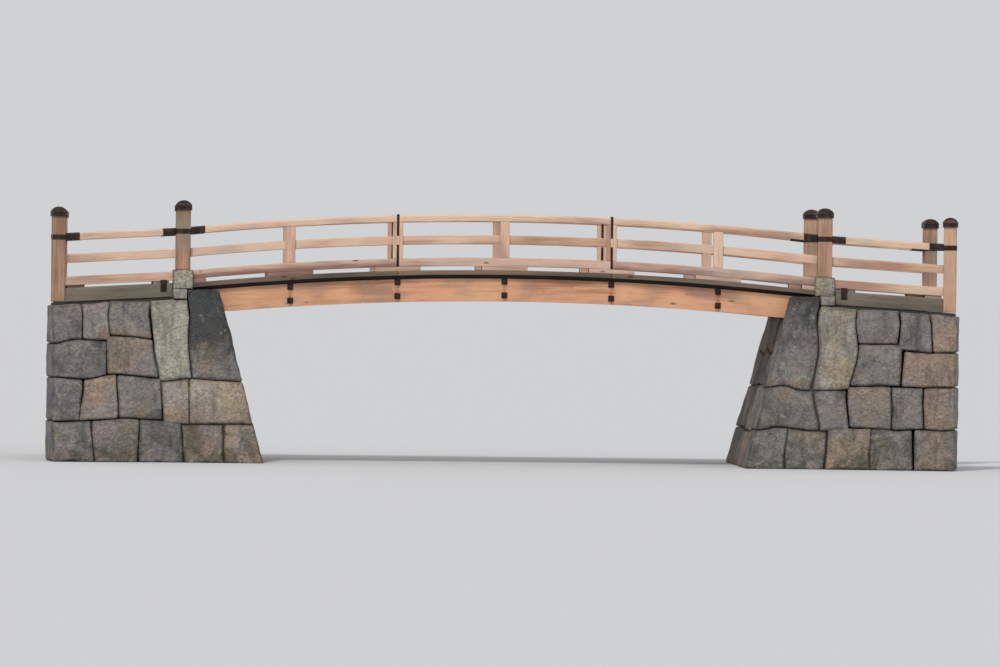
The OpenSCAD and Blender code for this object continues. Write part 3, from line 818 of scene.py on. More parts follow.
class MOONBRIDGE_OT_masonry(bpy.types.Operator):
    """Lay the hewn stones of both abutments and of the wing walls"""

    bl_idname = "moonbridge.masonry"
    bl_label = "Masonry"
    bl_options = {"REGISTER", "UNDO"}

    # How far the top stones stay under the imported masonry's top, in metres
    under_top = 0.003

    def execute(self, context):
        """Each end has its two flanks, its channel face and its back round a dark core."""
        plan, look, rng = at_hand(context, seed=11)
        for name, sx in ENDS:
            stones, wings, core = Pile(), Pile(), Pile()
            for sy in SIDES:
                self.lay_flank(plan, stones, wings, sx, sy, rng)
            self.lay_channel_face(plan, stones, sx, rng)
            self.lay_back(plan, stones, sx, rng)
            self.fill_core(plan, core, sx)
            stones.make(f"{name}_abutment_stones", look["hewn_stone"], "masonry",
                        f"{name}_abutment")
            wings.make(f"{name}_wing_stones", look["hewn_stone"], "masonry",
                       f"{name}_wing_walls")
            core.make(f"{name}_bedding", look["bedding"], "masonry")
        return {"FINISHED"}

    def stone(self, plan, pile, corners, rng, pale, tone, radius=0.022):
        """A hewn block with a swelling face, and with rounder or sharper edges by chance."""
        cells = plan.masonry.stone_cells
        block(
            pile, corners, radius * rng.uniform(0.7, 1.3), (cells, cells // 3, cells),
            rough=plan.masonry.rough, seed=int(rng.integers(1, 9999)), bulge=0.008, warp=0.011,
            tone=tone, pale=np.broadcast_to(pale, 2), wander=plan.wander,
        )

    def lay_flank(self, plan, stones, wings, sx, sy, rng):
        """Side face and wing wall in one run of stones. A stone is (from, to, foot, head, pale,
        tone). From and to are distances past the main post, and two of them where they differ
        at the foot and at the head. A row starts at the channel face and goes on down the wing,
        where the splay turns it and the heads of the top stones fall with the kerb. One more
        stone fills the corner beside the plinth, up to the masonry's top."""
        half_joint, inset, end = plan.masonry.joint / 2, plan.masonry.hollow, plan.wall_end
        lean_most, past_cheek, wing_inner, wing_from, kerb_joint = 0.012, 0.004, 0.150, 0.02, 0.032
        top = plan.masonry_top - self.under_top
        cheek = plan.pocket_y + past_cheek - plan.sizes.rail_y
        channel = kerb = None
        seam = (-0.15, -0.06)
        common, spread = 0.42, 0.45
        rows = [
            (channel, -0.50, 0.0, 0.46, 0.55, 0.9), (-0.50, 0.06, 0.0, 0.46, 0.38, 0.6),
            (0.06, 0.62, 0.0, 0.50, 0.45, 0.2), (0.62, 1.16, 0.0, 0.50, 0.35, 0.7),
            (1.16, end, 0.0, 0.50, 0.42, 0.4),
            (channel, -0.12, 0.46, 0.98, (0.42, 0.62), 1.0),
            (-0.12, 0.36, 0.46, 0.98, 0.58, 0.8), (0.36, 0.86, 0.50, 1.02, 0.44, 0.3),
            (0.86, 1.30, 0.50, 1.02, 0.52, 0.9), (1.30, end, 0.50, 1.02, 0.38, 0.2),
            (channel, seam, 0.98, top, (0.50, -0.45), 0.45),
            (seam, (0.38, 0.43), 0.98, kerb, 0.98, 0.4),
            ((0.38, 0.407), 0.98, 1.02, 1.50, 0.50, 0.7), (0.98, end, 1.02, 1.44, 0.44, 0.1),
            ((0.407, 0.43), 0.92, 1.50, kerb, 0.38, 0.5), (0.92, 1.30, 1.44, kerb, 0.52, 0.8),
            (1.30, end, 1.44, kerb, 0.42, 0.3),
        ]
        for *span, z0, z1, pale, tone in rows:
            span = [(v, v) if np.ndim(v) == 0 else v for v in span]
            in_wing = span[1][1] > 0 and span[0][1] >= seam[0]
            lean = rng.uniform(-lean_most, lean_most, 2)

            def corner(i, j, k):
                """Half a joint inside its place, and a little aside by chance."""
                s = span[i][k]
                if k == 0:
                    z = z0 + (half_joint if z0 > 0 else 0)
                elif z1 is kerb:
                    z = plan.kerb_z - plan.wing_fall(max(s, 0)) - kerb_joint - half_joint
                else:
                    z = z1 - half_joint
                if s is channel:
                    s = plan.channel_x(z) + inset - plan.sizes.half_span
                elif s < end:
                    s += (-half_joint if i else half_joint) + lean[k] * (0.5 if z1 is kerb else 1)
                else:
                    s -= inset
                y = plan.side_out(z) - inset
                if j:
                    y = inset - wing_inner if in_wing and s > wing_from else cheek
                x, y = turned(plan, s, y) if s > 0 else (s, y)
                return at_corner(plan, sx, sy, x, y, z)

            if sx > 0:
                # The stones at the right are more alike
                pale, tone = common + spread * (np.asarray(pale) - common), 1.0 - tone
            pile = wings if in_wing else stones
            self.stone(plan, pile, eight_corners(corner), rng, pale, tone)

        def beside_plinth(i, j, k):
            """From the seam to the masonry's back, and from the kerb to the masonry's top."""
            x = (seam[1] + half_joint, plan.masonry_back - plan.sizes.half_span - inset)[i]
            z = (plan.kerb_z - kerb_joint + half_joint, top)[k]
            return at_corner(plan, sx, sy, x, (plan.side_out(z) - inset, cheek)[j], z)

        pale = 0.8 if sx < 0 else 0.6
        self.stone(plan, stones, eight_corners(beside_plinth), rng, pale, 0.3, radius=0.012)

    def lay_rows(self, plan, pile, rng, heights, joints, point, shade):
        """Stones between the heights and the joints of each row. point takes y, z and 0 or 1
        for front or back, and shade is the range of the pale mark."""
        half_joint, lean_most = plan.masonry.joint / 2, 0.01
        for z0, z1, row in zip(heights, heights[1:], joints):
            row = [-plan.pocket_y, *row, plan.pocket_y]
            z = (z0 + (half_joint if z0 > 0 else 0), z1 - half_joint)
            for y0, y1 in zip(row, row[1:]):
                y = (y0 + half_joint, y1 - half_joint) + rng.uniform(-lean_most, lean_most, 2)
                corners = eight_corners(lambda i, j, k: point(y[i], z[k], j))
                self.stone(plan, pile, corners, rng, rng.uniform(*shade), rng.uniform())

    def lay_channel_face(self, plan, pile, sx, rng):
        """The battered face under the girders, up to their seat, set back by the batter's
        tangent times the height."""
        heights = [0.0, 0.46, 0.98, 1.42, plan.seat_z - SEAT + plan.masonry.joint / 2]
        joints = [(-0.50, 0.03, 0.52), (-0.62, -0.18, 0.33), (-0.42, 0.10, 0.58),
                  (-0.55, -0.05, 0.47)]
        deep = 0.40
        back_x = plan.channel_x(heights[-1]) + deep

        def point(y, z, back):
            """On the slope at the front, and upright at the back."""
            return sx * (back_x if back else plan.channel_x(z) + plan.masonry.hollow), y, z

        self.lay_rows(plan, pile, rng, heights, joints, point, (0.22, 0.5))

    def lay_back(self, plan, pile, sx, rng):
        """The upright wall behind the ends of the girders, up to the masonry's top."""
        heights = [0.0, 0.55, 1.08, 1.62, plan.masonry_top - self.under_top]
        joints = [(-0.44, 0.08, 0.50), (-0.58, -0.10, 0.38), (-0.40, 0.02, 0.60),
                  (-0.52, -0.02, 0.44)]
        end_clear = 0.001
        pocket_x = plan.sizes.timber_end + end_clear

        def point(y, z, back):
            """Upright on both sides."""
            return sx * (pocket_x if back else plan.masonry_back - plan.masonry.hollow), y, z

        self.lay_rows(plan, pile, rng, heights, joints, point, (0.25, 0.5))

    def fill_core(self, plan, pile, sx):
        """Dark bedding: under the girders' seat and behind their ends it lies inside the
        stones' faces by the depth or the cover, and under each kerb it runs down the wing."""
        foot, depth, cover, pocket_foot, cheek_y = 0.005, 0.05, 0.04, 1.6, 0.93
        kerb_from, kerb_past, kerb_half, kerb_bed = 0.14, 0.075, 0.072, 0.002
        back_x = plan.masonry_back - depth

        def under_seat(i, j, k):
            """Its channel face and its sides slope as the stones' faces do."""
            z = (foot, plan.seat_z - depth)[k]
            y = plan.sizes.rail_y + plan.side_out(z) - depth
            return sx * (plan.channel_x(z) + depth, back_x)[i], (y, -y)[j], z

        def behind_pocket(i, j, k):
            """An upright box."""
            z = (pocket_foot, plan.masonry_top - cover)[k]
            return sx * (plan.sizes.timber_end + cover, back_x)[i], (cheek_y, -cheek_y)[j], z

        block(pile, eight_corners(under_seat), 0.01)
        block(pile, eight_corners(behind_pocket), 0.01)
        for sy in SIDES:
            def under_kerb(i, j, k):
                """Turned with the wing, with a head that falls as the kerb does."""
                s = (kerb_from, plan.sizes.wing_length + kerb_past)[i]
                z = (foot, plan.kerb_z - plan.wing_fall(s) - kerb_bed)[k]
                return at_corner(plan, sx, sy, *turned(plan, s, (kerb_half, -kerb_half)[j]), z)

            block(pile, eight_corners(under_kerb), 0.004)


class MOONBRIDGE_OT_dressed_stone(bpy.types.Operator):
    """Set the threshold slabs at the deck's ends and the plinths under the main posts"""

    bl_idname = "moonbridge.dressed_stone"
    bl_label = "Plinths and thresholds"
    bl_options = {"REGISTER", "UNDO"}

    def execute(self, context):
        """Worn blocks with rounded edges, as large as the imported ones."""
        plan, look, rng = at_hand(context, seed=23)
        plinths, edge_r, worn = Pile(), 0.010, 0.002
        low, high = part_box("post_plinths")
        half = high.x - plan.sizes.half_span
        for sx, sy in CORNERS:
            x, y = sx * plan.sizes.half_span, sy * plan.sizes.rail_y
            corners = box_corners((x - half, y - half, low.z), (x + half, y + half, high.z))
            block(plinths, corners, edge_r, 10, rough=worn, seed=3, tone=rng.uniform(),
                  pale=(0.85, 1.05))
        plinths.make("main_post_plinths", look["hewn_stone"], "pale_stone", "post_plinths")
        for name, _ in ENDS:
            slab = Pile()
            corners = box_corners(*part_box(f"{name}_threshold_stone"))
            block(slab, corners, edge_r, 14, rough=worn, seed=5, pale=(0.85, 0.85))
            slab.make(f"{name}_threshold_slab", look["hewn_stone"], "pale_stone",
                      f"{name}_threshold_stone")
        return {"FINISHED"}


class MOONBRIDGE_OT_girders(bpy.types.Operator):
    """Bend the three laminated girders, and fit the ties and bearers to them"""

    bl_idname = "moonbridge.girders"
    bl_label = "Girders"
    bl_options = {"REGISTER", "UNDO"}

    def execute(self, context):
        """Girders follow the arch. They are painted paler at their feet and darker towards their
        heads, painted light and painted shade under the deck, and are darker at the left, where
        they are damp. Ties run straight from girder to girder at every post, and bearers follow
        the arch on top, in near-black timber that is painted shade."""
        plan, look, rng = at_hand(context, seed=31)
        end, arris = plan.sizes.timber_end, plan.sizes.arris
        wood = look["laminated_girder_wood"]
        rows = (("front", -plan.girder_y), ("middle", 0.0), ("back", plan.girder_y))
        for name, y in rows:
            pile, arch = Pile(), arch_place(plan, -end, end, y, 0.0)

            def seated(share, across, up):
                """On the arch, but cut level where the girder sits on the stone."""
                px, py, z = arch(share, across, up)
                return px, py, np.maximum(z, plan.seat_z)

            # fade paints the girder paler at its foot and darker at its head: painted light, and
            # painted shade under the deck
            carried(pile, (plan.girder_w, plan.girder_h), arris, 2 * end, seated, 0.2, rng,
                    fade=(-0.35, 0.4), run=(0.2, -0.3))
            pile.make(f"{name}_girder_timber", wood, "girder_timber", f"{name}_girder")

        ties, bearers = Pile(), Pile()
        tie_w, tie_h, bearer_w = 0.12, 0.18, 0.09
        face = plan.girder_w / 2 + SEAT
        tie_long = plan.girder_y - 2 * face
        for x in plan.stations:
            foot_z = plan.arc_z(plan.girder_h / 2, x) - tie_h / 2
            for side in SIDES:
                def across_bridge(share, across, up):
                    """Straight from the middle girder's side to the outer one's."""
                    return x + across, side * (face + share * tie_long), foot_z + up

                carried(ties, (tie_w, tie_h), arris, tie_long, across_bridge,
                        rng.uniform(), rng)
        for _, y in rows:
            place = arch_place(plan, -end, end, y, plan.girder_h + SEAT)
            carried(bearers, (bearer_w, plan.bearer_h - SEAT), 0.003, 2 * end, place,
                    rng.uniform(), rng)
        ties.make("girder_ties", wood, "girder_timber", "cross_ties")
        bearers.make("bearer_strips", look["bearer_wood"], "deck_timber", "deck_bearers")
        return {"FINISHED"}


class MOONBRIDGE_OT_deck(bpy.types.Operator):
    """Lay the deck boards crosswise between the two edge timbers"""

    bl_idname = "moonbridge.deck"
    bl_label = "Deck"
    bl_options = {"REGISTER", "UNDO"}

    def execute(self, context):
        """Boards lie side by side along the arch, each a little lower by chance, and the edge
        timbers follow the arch from joint to joint."""
        plan, look, rng = at_hand(context, seed=41)
        sizes, boards, edges = plan.sizes, Pile(), Pile()
        thick, board_arris, drop_most = plan.deck_t - SEAT, 0.004, 0.0015
        edge_w, edge_gap, end_gap = 0.055, 0.003, 0.0015
        wide = plan.deck_edge_y - edge_w - edge_gap
        count = round(2 * sizes.timber_end / (sizes.board_width + sizes.board_gap))
        ends = np.linspace(-sizes.timber_end, sizes.timber_end, count + 1)
        for x0, x1 in zip(ends, ends[1:]):
            x0, x1 = x0 + sizes.board_gap / 2, x1 - sizes.board_gap / 2
            level = plan.deck + SEAT - rng.uniform(0, drop_most)
            arch = arch_place(plan, x0, x1, 0.0, level)

            def crosswise(share, across, up):
                """The board's width goes along the arch, and its length straight across."""
                x, _, z = arch(across / (x1 - x0) + 0.5, 0.0, up)
                return x, (share * 2 - 1) * wide, z

            carried(boards, (x1 - x0, thick), board_arris, 2 * wide, crosswise,
                    rng.uniform(0.2, 0.8), rng, step=0.6)
        cuts = [-sizes.timber_end, *plan.joints, sizes.timber_end]
        for side in SIDES:
            y = side * (plan.deck_edge_y - edge_w / 2)
            for x0, x1 in zip(cuts, cuts[1:]):
                place = arch_place(plan, x0 + end_gap, x1 - end_gap, y, plan.deck + SEAT)
                carried(edges, (edge_w, thick), sizes.arris, x1 - x0, place,
                        rng.uniform(0.2, 0.6), rng)
        edges.make("deck_edge_timbers", look["stained_edge_wood"], "deck_timber")
        boards.make("deck_boards", look["silvered_deck_wood"], "deck_timber", "deck")
        self.drive_nails(plan, look, ends)
        return {"FINISHED"}

    def drive_nails(self, plan, look, ends):
        """Two low round heads through each board into each of the three girders: a ring in the
        board, one at its top and a smaller one above it, for all the nails at once."""
        quarter = (ends[1] - ends[0]) / 4
        x = np.concatenate([ends[:-1] + quarter, ends[1:] - quarter])
        y = np.array([-plan.girder_y, 0.0, plan.girder_y])
        x, y = (v.reshape(-1, 1, 1) for v in np.meshgrid(x, y))
        turn = np.arange(8) * math.pi / 4
        rings = np.array([(0.0066, -0.002), (0.0066, 0.0006), (0.004, 0.0018)])
        radius, lift = rings.T.reshape(2, 1, 3, 1)
        px, py = x + radius * np.cos(turn), y + radius * np.sin(turn)
        points = np.stack([px, py, plan.arc_z(plan.walk, px) + lift], axis=-1)
        pile = Pile()
        pile.add(points.reshape(-1, 3), *tubes(px.shape))
        pile.make("deck_nails", look["dark_patina"], "dark_metal")


class MOONBRIDGE_OT_arched_rails(bpy.types.Operator):
    """Carry the slot blocks and the three rails of both balustrades along the arch"""

    bl_idname = "moonbridge.arched_rails"
    bl_label = "Arched rails"
    bl_options = {"REGISTER", "UNDO"}

    def execute(self, context):
        """A rail follows the arch at its level, in three panels with a gap at each joint. Each
        rail is painted darker at its foot and paler at its head, painted shade and painted light.
        The foot of a bottom rail is darker still, damp and painted shade together, and most of
        all at the left."""
        plan, look, rng = at_hand(context, seed=53)
        arris, gap = plan.sizes.arris, plan.sizes.joint_gap / 2
        bottom_w, bottom_h = plan.bottom_size
        damp_wood, dry_wood = look["damp_rail_wood"], look["bleached_rail_wood"]
        panel_damp_and_shade = (1.0, 0.45, 0.45)
        face = plan.sizes.half_span - plan.main_post_w / 2 - SEAT
        band = plan.sizes.half_span - plan.band_face
        rails = (
            ("bottom", plan.sizes.timber_end, plan.bottom + SEAT, (bottom_w, bottom_h - SEAT), 0.0),
            ("middle", face, plan.middle, plan.middle_size, 0.0),
            ("top", band, plan.top, plan.top_size, plan.top_crown),
        )
        for name, side in FACES:
            y = side * plan.sizes.rail_y
            self.build_slot_blocks(plan, look, rng, name, y)
            for rail, end, level, size, crown in rails:
                pile, foot = Pile(), rail == "bottom"
                starts = [-end, *(x + gap for x in plan.joints)]
                stops = [*(x - gap for x in plan.joints), end]
                for x0, x1, damp in zip(starts, stops, panel_damp_and_shade):
                    # fade paints each rail darker at its foot and paler at its head, painted shade
                    # and painted light; a bottom rail's darker foot is damp and painted shade
                    # together
                    fade = (0.8 * damp, -0.45) if foot else (0.25, -0.25)
                    carried(pile, size, arris, x1 - x0, arch_place(plan, x0, x1, y, level),
                            rng.uniform(0.1, 0.5), rng, crown=crown, fade=fade)
                if rail == "middle":
                    self.join_panels(pile, plan, y, level, rng)
                pile.make(f"{name}_{rail}_rail_timber", damp_wood if foot else dry_wood,
                          "rail_timber", f"{name}_{rail}_rail")
        return {"FINISHED"}

    def join_panels(self, pile, plan, y, level, rng):
        """At each joint a tenon goes through the iron upright, and a thin slip of wood covers
        each of its faces, as tall as the rail, so that the rail runs on past it."""
        tenon, tenon_long, tenon_lift = (0.034, 0.064), 0.056, 0.0205
        iron, thick, half = 0.049, 0.006, plan.sizes.joint_gap / 2 - SEAT
        for x in plan.joints:
            place = arch_place(plan, x - tenon_long / 2, x + tenon_long / 2, y,
                               level + tenon_lift)
            carried(pile, tenon, 0.002, tenon_long, place, 0.2, rng)
            for side in SIDES:
                place = arch_place(plan, x - half, x + half, y + side * (iron + thick / 2),
                                   level)
                carried(pile, (thick, plan.middle_size[1]), 0.001, 2 * half, place, 0.45, rng)

    def build_slot_blocks(self, plan, look, rng, name, y):
        """A block under the bottom rail at each post, which leaves a drain slot in each bay.
        The one at the left main post is damp."""
        pile, end, slot_long = Pile(), plan.sizes.timber_end, 0.75
        size = (plan.bottom_size[0], plan.slot_h - SEAT)
        half = (plan.sizes.bay - slot_long) / 2
        for x in (-plan.sizes.half_span, *plan.stations, plan.sizes.half_span):
            x0, x1 = max(x - half, -end), min(x + half, end)
            place = arch_place(plan, x0, x1, y, plan.walk + SEAT)
            tone = 0.9 if x < -2 * plan.sizes.bay else rng.uniform(0.1, 0.4)
            carried(pile, size, 0.003, x1 - x0, place, tone, rng)
        pile.make(f"{name}_drain_blocks", look["damp_rail_wood"], "rail_timber",
                  f"{name}_slot_blocks")


class MOONBRIDGE_OT_posts(bpy.types.Operator):
    """Stand the single and twin posts, the main posts and the wing end posts"""

    bl_idname = "moonbridge.posts"
    bl_label = "Posts"
    bl_options = {"REGISTER", "UNDO"}

    def execute(self, context):
        """Posts stand plumb. Those between two rails are cut to the arch at foot and head, and
        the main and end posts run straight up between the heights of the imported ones. Those
        at the left are darker."""
        plan, look, rng = at_hand(context, seed=61)
        foot, head = plan.post + SEAT, plan.top - SEAT
        deep, single, twin = 0.106, 0.115, 0.047
        apart = (plan.sizes.joint_gap + twin) / 2
        stands = [(x, single) for x in plan.stations[::2]]
        stands += [(x + side * apart, twin) for x in plan.joints for side in SIDES]
        for name, side in FACES:
            pile = Pile()
            for x, wide in stands:
                place = post_place(plan, x, side * plan.sizes.rail_y, (deep, wide), foot, head)
                tall = float(plan.arc_z(head, x) - plan.arc_z(foot, x))
                carried(pile, (deep, wide), plan.sizes.arris, tall, place, rng.uniform(0, 0.6), rng)
            pile.make(f"{name}_post_timber", look["bleached_rail_wood"], "rail_timber",
                      f"{name}_posts")

        main, ends = Pile(), Pile()
        for sx, sy in CORNERS:
            for pile, node, wide, along, splayed in (
                (main, "main_posts", plan.main_post_w, 0.0, False),
                (ends, "wing_end_posts", plan.end_post_w, plan.sizes.wing_length, True),
            ):
                low, high = (corner.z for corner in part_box(node))
                place = upright_place(plan, sx, sy, along, wide, low, high, splayed)
                tone = rng.uniform(0.0, 0.3) + (0.5 if sx < 0 else 0.0)
                carried(pile, (wide, wide), 0.010, high - low, place, tone, rng)
        main.make("main_post_timber", look["tanned_post_wood"], "rail_timber", "main_posts")
        ends.make("end_post_timber", look["tanned_post_wood"], "rail_timber", "wing_end_posts")
        return {"FINISHED"}


class MOONBRIDGE_OT_wings(bpy.types.Operator):
    """Run the kerbs, their packing blocks and the three rails of each wing"""

    bl_idname = "moonbridge.wings"
    bl_label = "Wing balustrades"
    bl_options = {"REGISTER", "UNDO"}

    def execute(self, context):
        """Kerbs and rails run down the wing from the main post to the end post, and two blocks
        stand on each kerb under the bottom rail."""
        plan, look, rng = at_hand(context, seed=71)
        end = plan.sizes.wing_length - plan.end_post_w / 2 - SEAT
        back = plan.masonry_back - plan.sizes.half_span + SEAT
        plinth, post = plan.plinth_w / 2 + SEAT, plan.main_post_w / 2 + SEAT
        kerb_size = (plan.kerb_w, plan.kerb_h - SEAT)
        runs = (
            ("kerb", back, end, plan.kerb_z + SEAT, kerb_size, 0.0),
            ("bottom_rail", plinth, end, plan.bottom_z, plan.bottom_size, 0.0),
            ("middle_rail", post, end, plan.middle_z, plan.middle_size, 0.0),
            ("top_rail", plan.band_face, plan.end_band_face, plan.top_z, plan.top_size,
             plan.top_crown),
        )
        for name, start, stop, z0, size, crown in runs:
            pile = Pile()
            for sx, sy in CORNERS:
                place = wing_place(plan, sx, sy, start, stop, z0)
                carried(pile, size, plan.sizes.arris, stop - start, place,
                        rng.uniform(0.1, 0.6), rng, crown=crown)
            wood, slot = (
                ("mossy_kerb_wood", "deck_timber") if name == "kerb"
                else ("bleached_rail_wood", "rail_timber")
            )
            pile.make(f"wing_{name}_timber", look[wood], slot, f"wing_{name}s")

        blocks, long, size = Pile(), 0.2, (0.12, plan.kerb_gap - 2 * SEAT)
        past_back, before_end = 0.05, 0.025
        kerb_top = plan.kerb_z + plan.kerb_h + SEAT
        for sx, sy in CORNERS:
            for start in (back - SEAT + past_back, end + SEAT - long - before_end):
                place = wing_place(plan, sx, sy, start, start + long, kerb_top, level=True)
                carried(blocks, size, 0.003, long, place, rng.uniform(), rng)
        blocks.make("wing_packing_blocks", look["silvered_deck_wood"], "deck_timber",
                    "wing_kerb_blocks")
        return {"FINISHED"}


class MOONBRIDGE_OT_metalwork(bpy.types.Operator):
    """Fit the caps, and the bolts of the girders and the straps of the wings"""

    bl_idname = "moonbridge.metalwork"
    bl_label = "Metalwork"
    bl_options = {"REGISTER", "UNDO"}

    def execute(self, context):
        """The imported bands, sleeves and uprights keep their shape and get the dark patina."""
        plan, look, rng = at_hand(context, seed=83)
        metal = look["dark_patina"]
        for name in ("main_post_bands", "end_post_bands", "main_rail_sleeves",
                     "wing_rail_sleeves", "front_iron_uprights", "back_iron_uprights"):
            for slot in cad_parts[name].material_slots:
                slot.material = metal
        self.build_caps(plan, metal)
        self.build_bolts(plan, metal, rng)
        self.build_straps(plan, metal)
        return {"FINISHED"}

    def build_caps(self, plan, metal):
        """Each cap is a rounded square that shrinks as it rises: straight up the skirt between
        two narrow rims, then by the sine of an arc's angle while the cosine gives the height.
        The arc's radius comes from half the width and the rise."""
        rise, skirt, past_post, crown_angle, corner_r = 0.065, 0.055, 0.016, 0.03, 0.007
        rims = [
            (0.985, 0.0), (1.0, 0.0015), (1.0, 0.009), (0.972, 0.0105),
            (0.972, skirt - 0.006), (1.0, skirt - 0.0045),
        ]
        for node, width, along, splayed in (
            ("main_post_caps", plan.main_post_w, 0.0, False),
            ("end_post_caps", plan.end_post_w, plan.sizes.wing_length, True),
        ):
            pile, half = Pile(), width / 2 + past_post
            radius = (half**2 + rise**2) / (2 * rise)
            turn = np.linspace(math.asin(half / radius), crown_angle, 13)
            dome = np.stack([
                radius * np.sin(turn) / half, skirt + radius * np.cos(turn) - radius + rise,
            ], axis=1)
            rows = np.concatenate([rims, dome])
            square = section((2 * half, 2 * half), corner_r) - (0.0, half)
            x, y = np.moveaxis(rows[:, :1, None] * square, -1, 0)
            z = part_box(node)[0].z + rows[:, 1:] + 0 * x
            x, y = turned(plan, along + x, y) if splayed else (along + x, y)
            for sx, sy in CORNERS:
                points = np.stack(at_corner(plan, sx, sy, x, y, z), axis=-1)
                pile.add(points.reshape(-1, 3), *tubes(z.shape))
            pile.make(node.replace("post_caps", "cap_domes"), metal, "dark_metal", node)

    def build_bolts(self, plan, metal, rng):
        """A square washer, a six-sided nut, turned by chance, and the end of the rod at each
        through-bolt. foot and head are how far each starts and ends outside the girder."""
        pile, levels = Pile(), (0.075, 0.243)
        half, foot, head = 0.036, -0.002, 0.007
        nut = {"foot": 0.006, "head": 0.028, "radius": 0.026, "sides": 6}
        rod = {"foot": 0.026, "head": 0.038, "radius": 0.011, "sides": 12}
        for x in plan.stations:
            for level in levels:
                z = plan.arc_z(level, x)
                for side in SIDES:
                    y = side * plan.girder_face
                    corners = box_corners((x - half, y + side * foot, z - half),
                                          (x + half, y + side * head, z + half))
                    block(pile, corners, 0.002)
                    self.prism(pile, x, z, side, plan, rng.uniform(0, math.pi / 3), **nut)
                    self.prism(pile, x, z, side, plan, 0.0, **rod)
        pile.make("girder_bolts", metal, "dark_metal")

    def prism(self, pile, x, z, side, plan, turn, foot, head, radius, sides):
        """Rings of points round an axis across the bridge, with the outer rim drawn in."""
        around = turn + np.arange(sides) * 2 * math.pi / sides
        share, size = np.array([(0.0, 0.85, 1.0), (1.0, 1.0, 0.88)]).reshape(2, 3, 1)
        y = side * (plan.girder_face + foot + (head - foot) * share) + 0 * around
        points = np.stack([
            x + radius * size * np.cos(around), y, z + radius * size * np.sin(around)
        ], axis=-1)
        pile.add(points.reshape(-1, 3), *tubes(y.shape))

    def build_straps(self, plan, metal):
        """A flat strap on the outer face of each wing's kerb, up to the bottom rail, which it
        laps a little."""
        pile, face = Pile(), plan.kerb_w / 2
        start, wide, thick, sunk = 0.215, 0.075, 0.008, 0.012
        rail_lap, kerb_lap = 0.012, 0.095
        for sx, sy in CORNERS:
            def corner(i, j, k):
                """Turned with the wing, between two heights that fall as its rails do."""
                s = start + i * wide
                foot = plan.bottom_z - plan.wing_fall(s)
                z = (foot - plan.kerb_gap - kerb_lap, foot + rail_lap)[k]
                return at_corner(plan, sx, sy, *turned(plan, s, (face + thick, face - sunk)[j]), z)

            block(pile, eight_corners(corner), 0.002)
        pile.make("wing_straps", metal, "dark_metal")


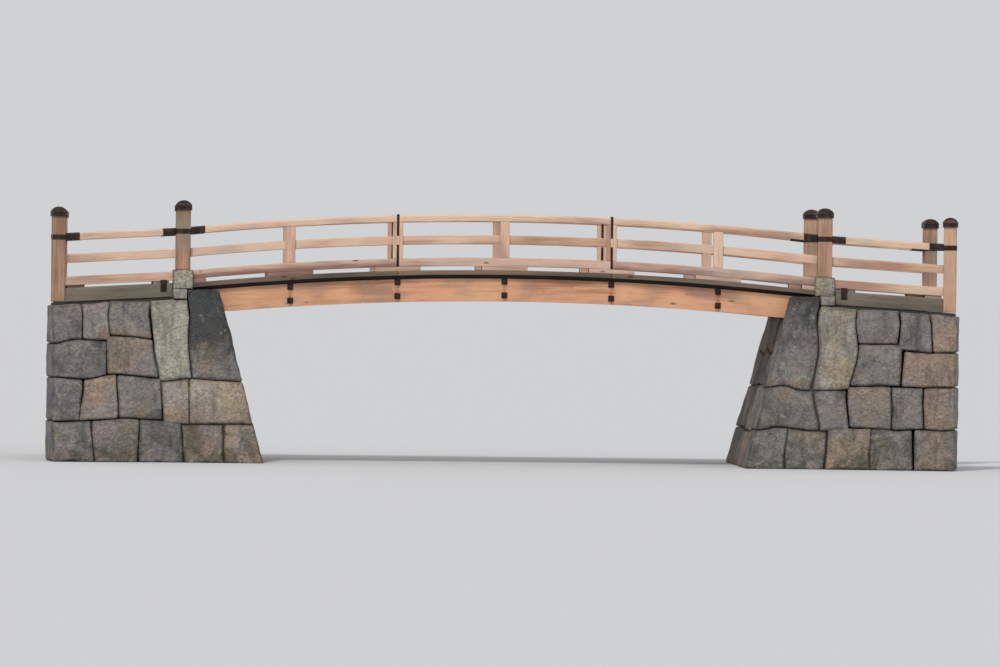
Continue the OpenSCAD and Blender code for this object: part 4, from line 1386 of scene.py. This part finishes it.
class MOONBRIDGE_OT_stage(bpy.types.Operator):
    """Set the plain floor, the soft lights and the camera"""

    bl_idname = "moonbridge.stage"
    bl_label = "Stage"
    bl_options = {"REGISTER", "UNDO"}

    def execute(self, context):
        """The floor, the lights and the camera, in that order."""
        scene = context.scene
        self.floor(scene)
        self.studio(scene)
        self.camera(scene)
        return {"FINISHED"}

    def floor(self, scene):
        """One large square at height 0."""
        mesh, r = bpy.data.meshes.new("floor"), 700.0
        mesh.from_pydata([(-r, -r, 0), (r, -r, 0), (r, r, 0), (-r, r, 0)], [], [(0, 1, 2, 3)])
        paint = Shader("floor_paint")
        paint.surface.inputs["Base Color"].default_value = (*scene.finish_colours.floor, 1.0)
        paint.surface.inputs["Roughness"].default_value = 0.9
        mesh.materials.append(paint.material)
        floor = bpy.data.objects.new("floor", mesh)
        scene.collection.objects.link(floor)

    def studio(self, scene):
        """Soft light all round, a warm key light and a weak cool fill, turned by the degrees."""
        world = bpy.data.worlds.new("studio")
        world.use_nodes = True
        background = world.node_tree.nodes["Background"]
        background.inputs["Color"].default_value = (*scene.finish_colours.sky, 1.0)
        background.inputs["Strength"].default_value = 0.65
        scene.world = world
        for name, turn, power, soft, hue in (
            ("key", (38, 0, -30), 1.8, 8, (1.0, 0.96, 0.90)),
            ("fill", (64, 0, 44), 0.35, 40, (0.92, 0.96, 1.0)),
        ):
            light = bpy.data.lights.new(name, "SUN")
            light.energy, light.angle, light.color = power, math.radians(soft), hue
            lamp = bpy.data.objects.new(name, light)
            lamp.rotation_euler = Euler([math.radians(a) for a in turn])
            scene.collection.objects.link(lamp)
        scene.view_settings.view_transform = "Standard"

    def camera(self, scene):
        """Level with the deck and 90 m off, a little to the left of square on, as far as the
        photograph was taken from. The lens is chosen so that the bridge fills the frame."""
        azimuth, away, height, roll = math.radians(-2.9), 90.0, 2.36, math.radians(0.7)
        aim = Vector((0.0, 0.0, 1.60))
        place = Vector((math.sin(azimuth) * away, -math.cos(azimuth) * away, height))
        data = bpy.data.cameras.new("camera")
        data.lens, data.sensor_width, data.clip_end = 262.0, 36.0, 3000.0
        camera = bpy.data.objects.new("camera", data)
        facing = (aim - place).to_track_quat("-Z", "Y")
        camera.rotation_euler = (facing.to_matrix() @ Euler((0, 0, roll)).to_matrix()).to_euler()
        camera.location = place
        scene.collection.objects.link(camera)
        scene.camera = camera


class MOONBRIDGE_PT_pieces(bpy.types.Panel):
    """Lists the pieces of the bridge and the sizes and colours that they take"""

    bl_idname = "MOONBRIDGE_PT_pieces"
    bl_label = "Moon bridge"
    bl_space_type = "VIEW_3D"
    bl_region_type = "UI"
    bl_category = "Bridge"

    def draw(self, context):
        """A button for each operator, and a box for each group of sizes or colours."""
        for operator in OPERATORS:
            self.layout.operator(operator.bl_idname)
        for group_name, group in GROUPS:
            box = self.layout.box()
            for name in group.__annotations__:
                box.prop(getattr(context.scene, group_name), name)


OPERATORS = (
    MOONBRIDGE_OT_masonry, MOONBRIDGE_OT_dressed_stone, MOONBRIDGE_OT_girders,
    MOONBRIDGE_OT_deck, MOONBRIDGE_OT_arched_rails, MOONBRIDGE_OT_posts,
    MOONBRIDGE_OT_wings, MOONBRIDGE_OT_metalwork, MOONBRIDGE_OT_stage,
)
GROUPS = (
    ("bridge_sizes", BridgeSizes), ("masonry_sizes", MasonrySizes),
    ("finish_colours", FinishColours),
)


def register():
    """Registers the groups of sizes and colours, the operators and the panel."""
    for name, group in GROUPS:
        bpy.utils.register_class(group)
        setattr(bpy.types.Scene, name, PointerProperty(type=group))
    for cls in (*OPERATORS, MOONBRIDGE_PT_pieces):
        bpy.utils.register_class(cls)


def unregister():
    """Takes out what register put in, in reverse."""
    for cls in reversed((*OPERATORS, MOONBRIDGE_PT_pieces)):
        bpy.utils.unregister_class(cls)
    for name, group in reversed(GROUPS):
        delattr(bpy.types.Scene, name)
        bpy.utils.unregister_class(group)


def main():
    """Makes every piece and the stage."""
    register()
    bpy.ops.moonbridge.masonry()
    bpy.ops.moonbridge.dressed_stone()
    bpy.ops.moonbridge.girders()
    bpy.ops.moonbridge.deck()
    bpy.ops.moonbridge.arched_rails()
    bpy.ops.moonbridge.posts()
    bpy.ops.moonbridge.wings()
    bpy.ops.moonbridge.metalwork()
    bpy.ops.moonbridge.stage()
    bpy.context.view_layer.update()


if __name__ == "__main__":
    main()
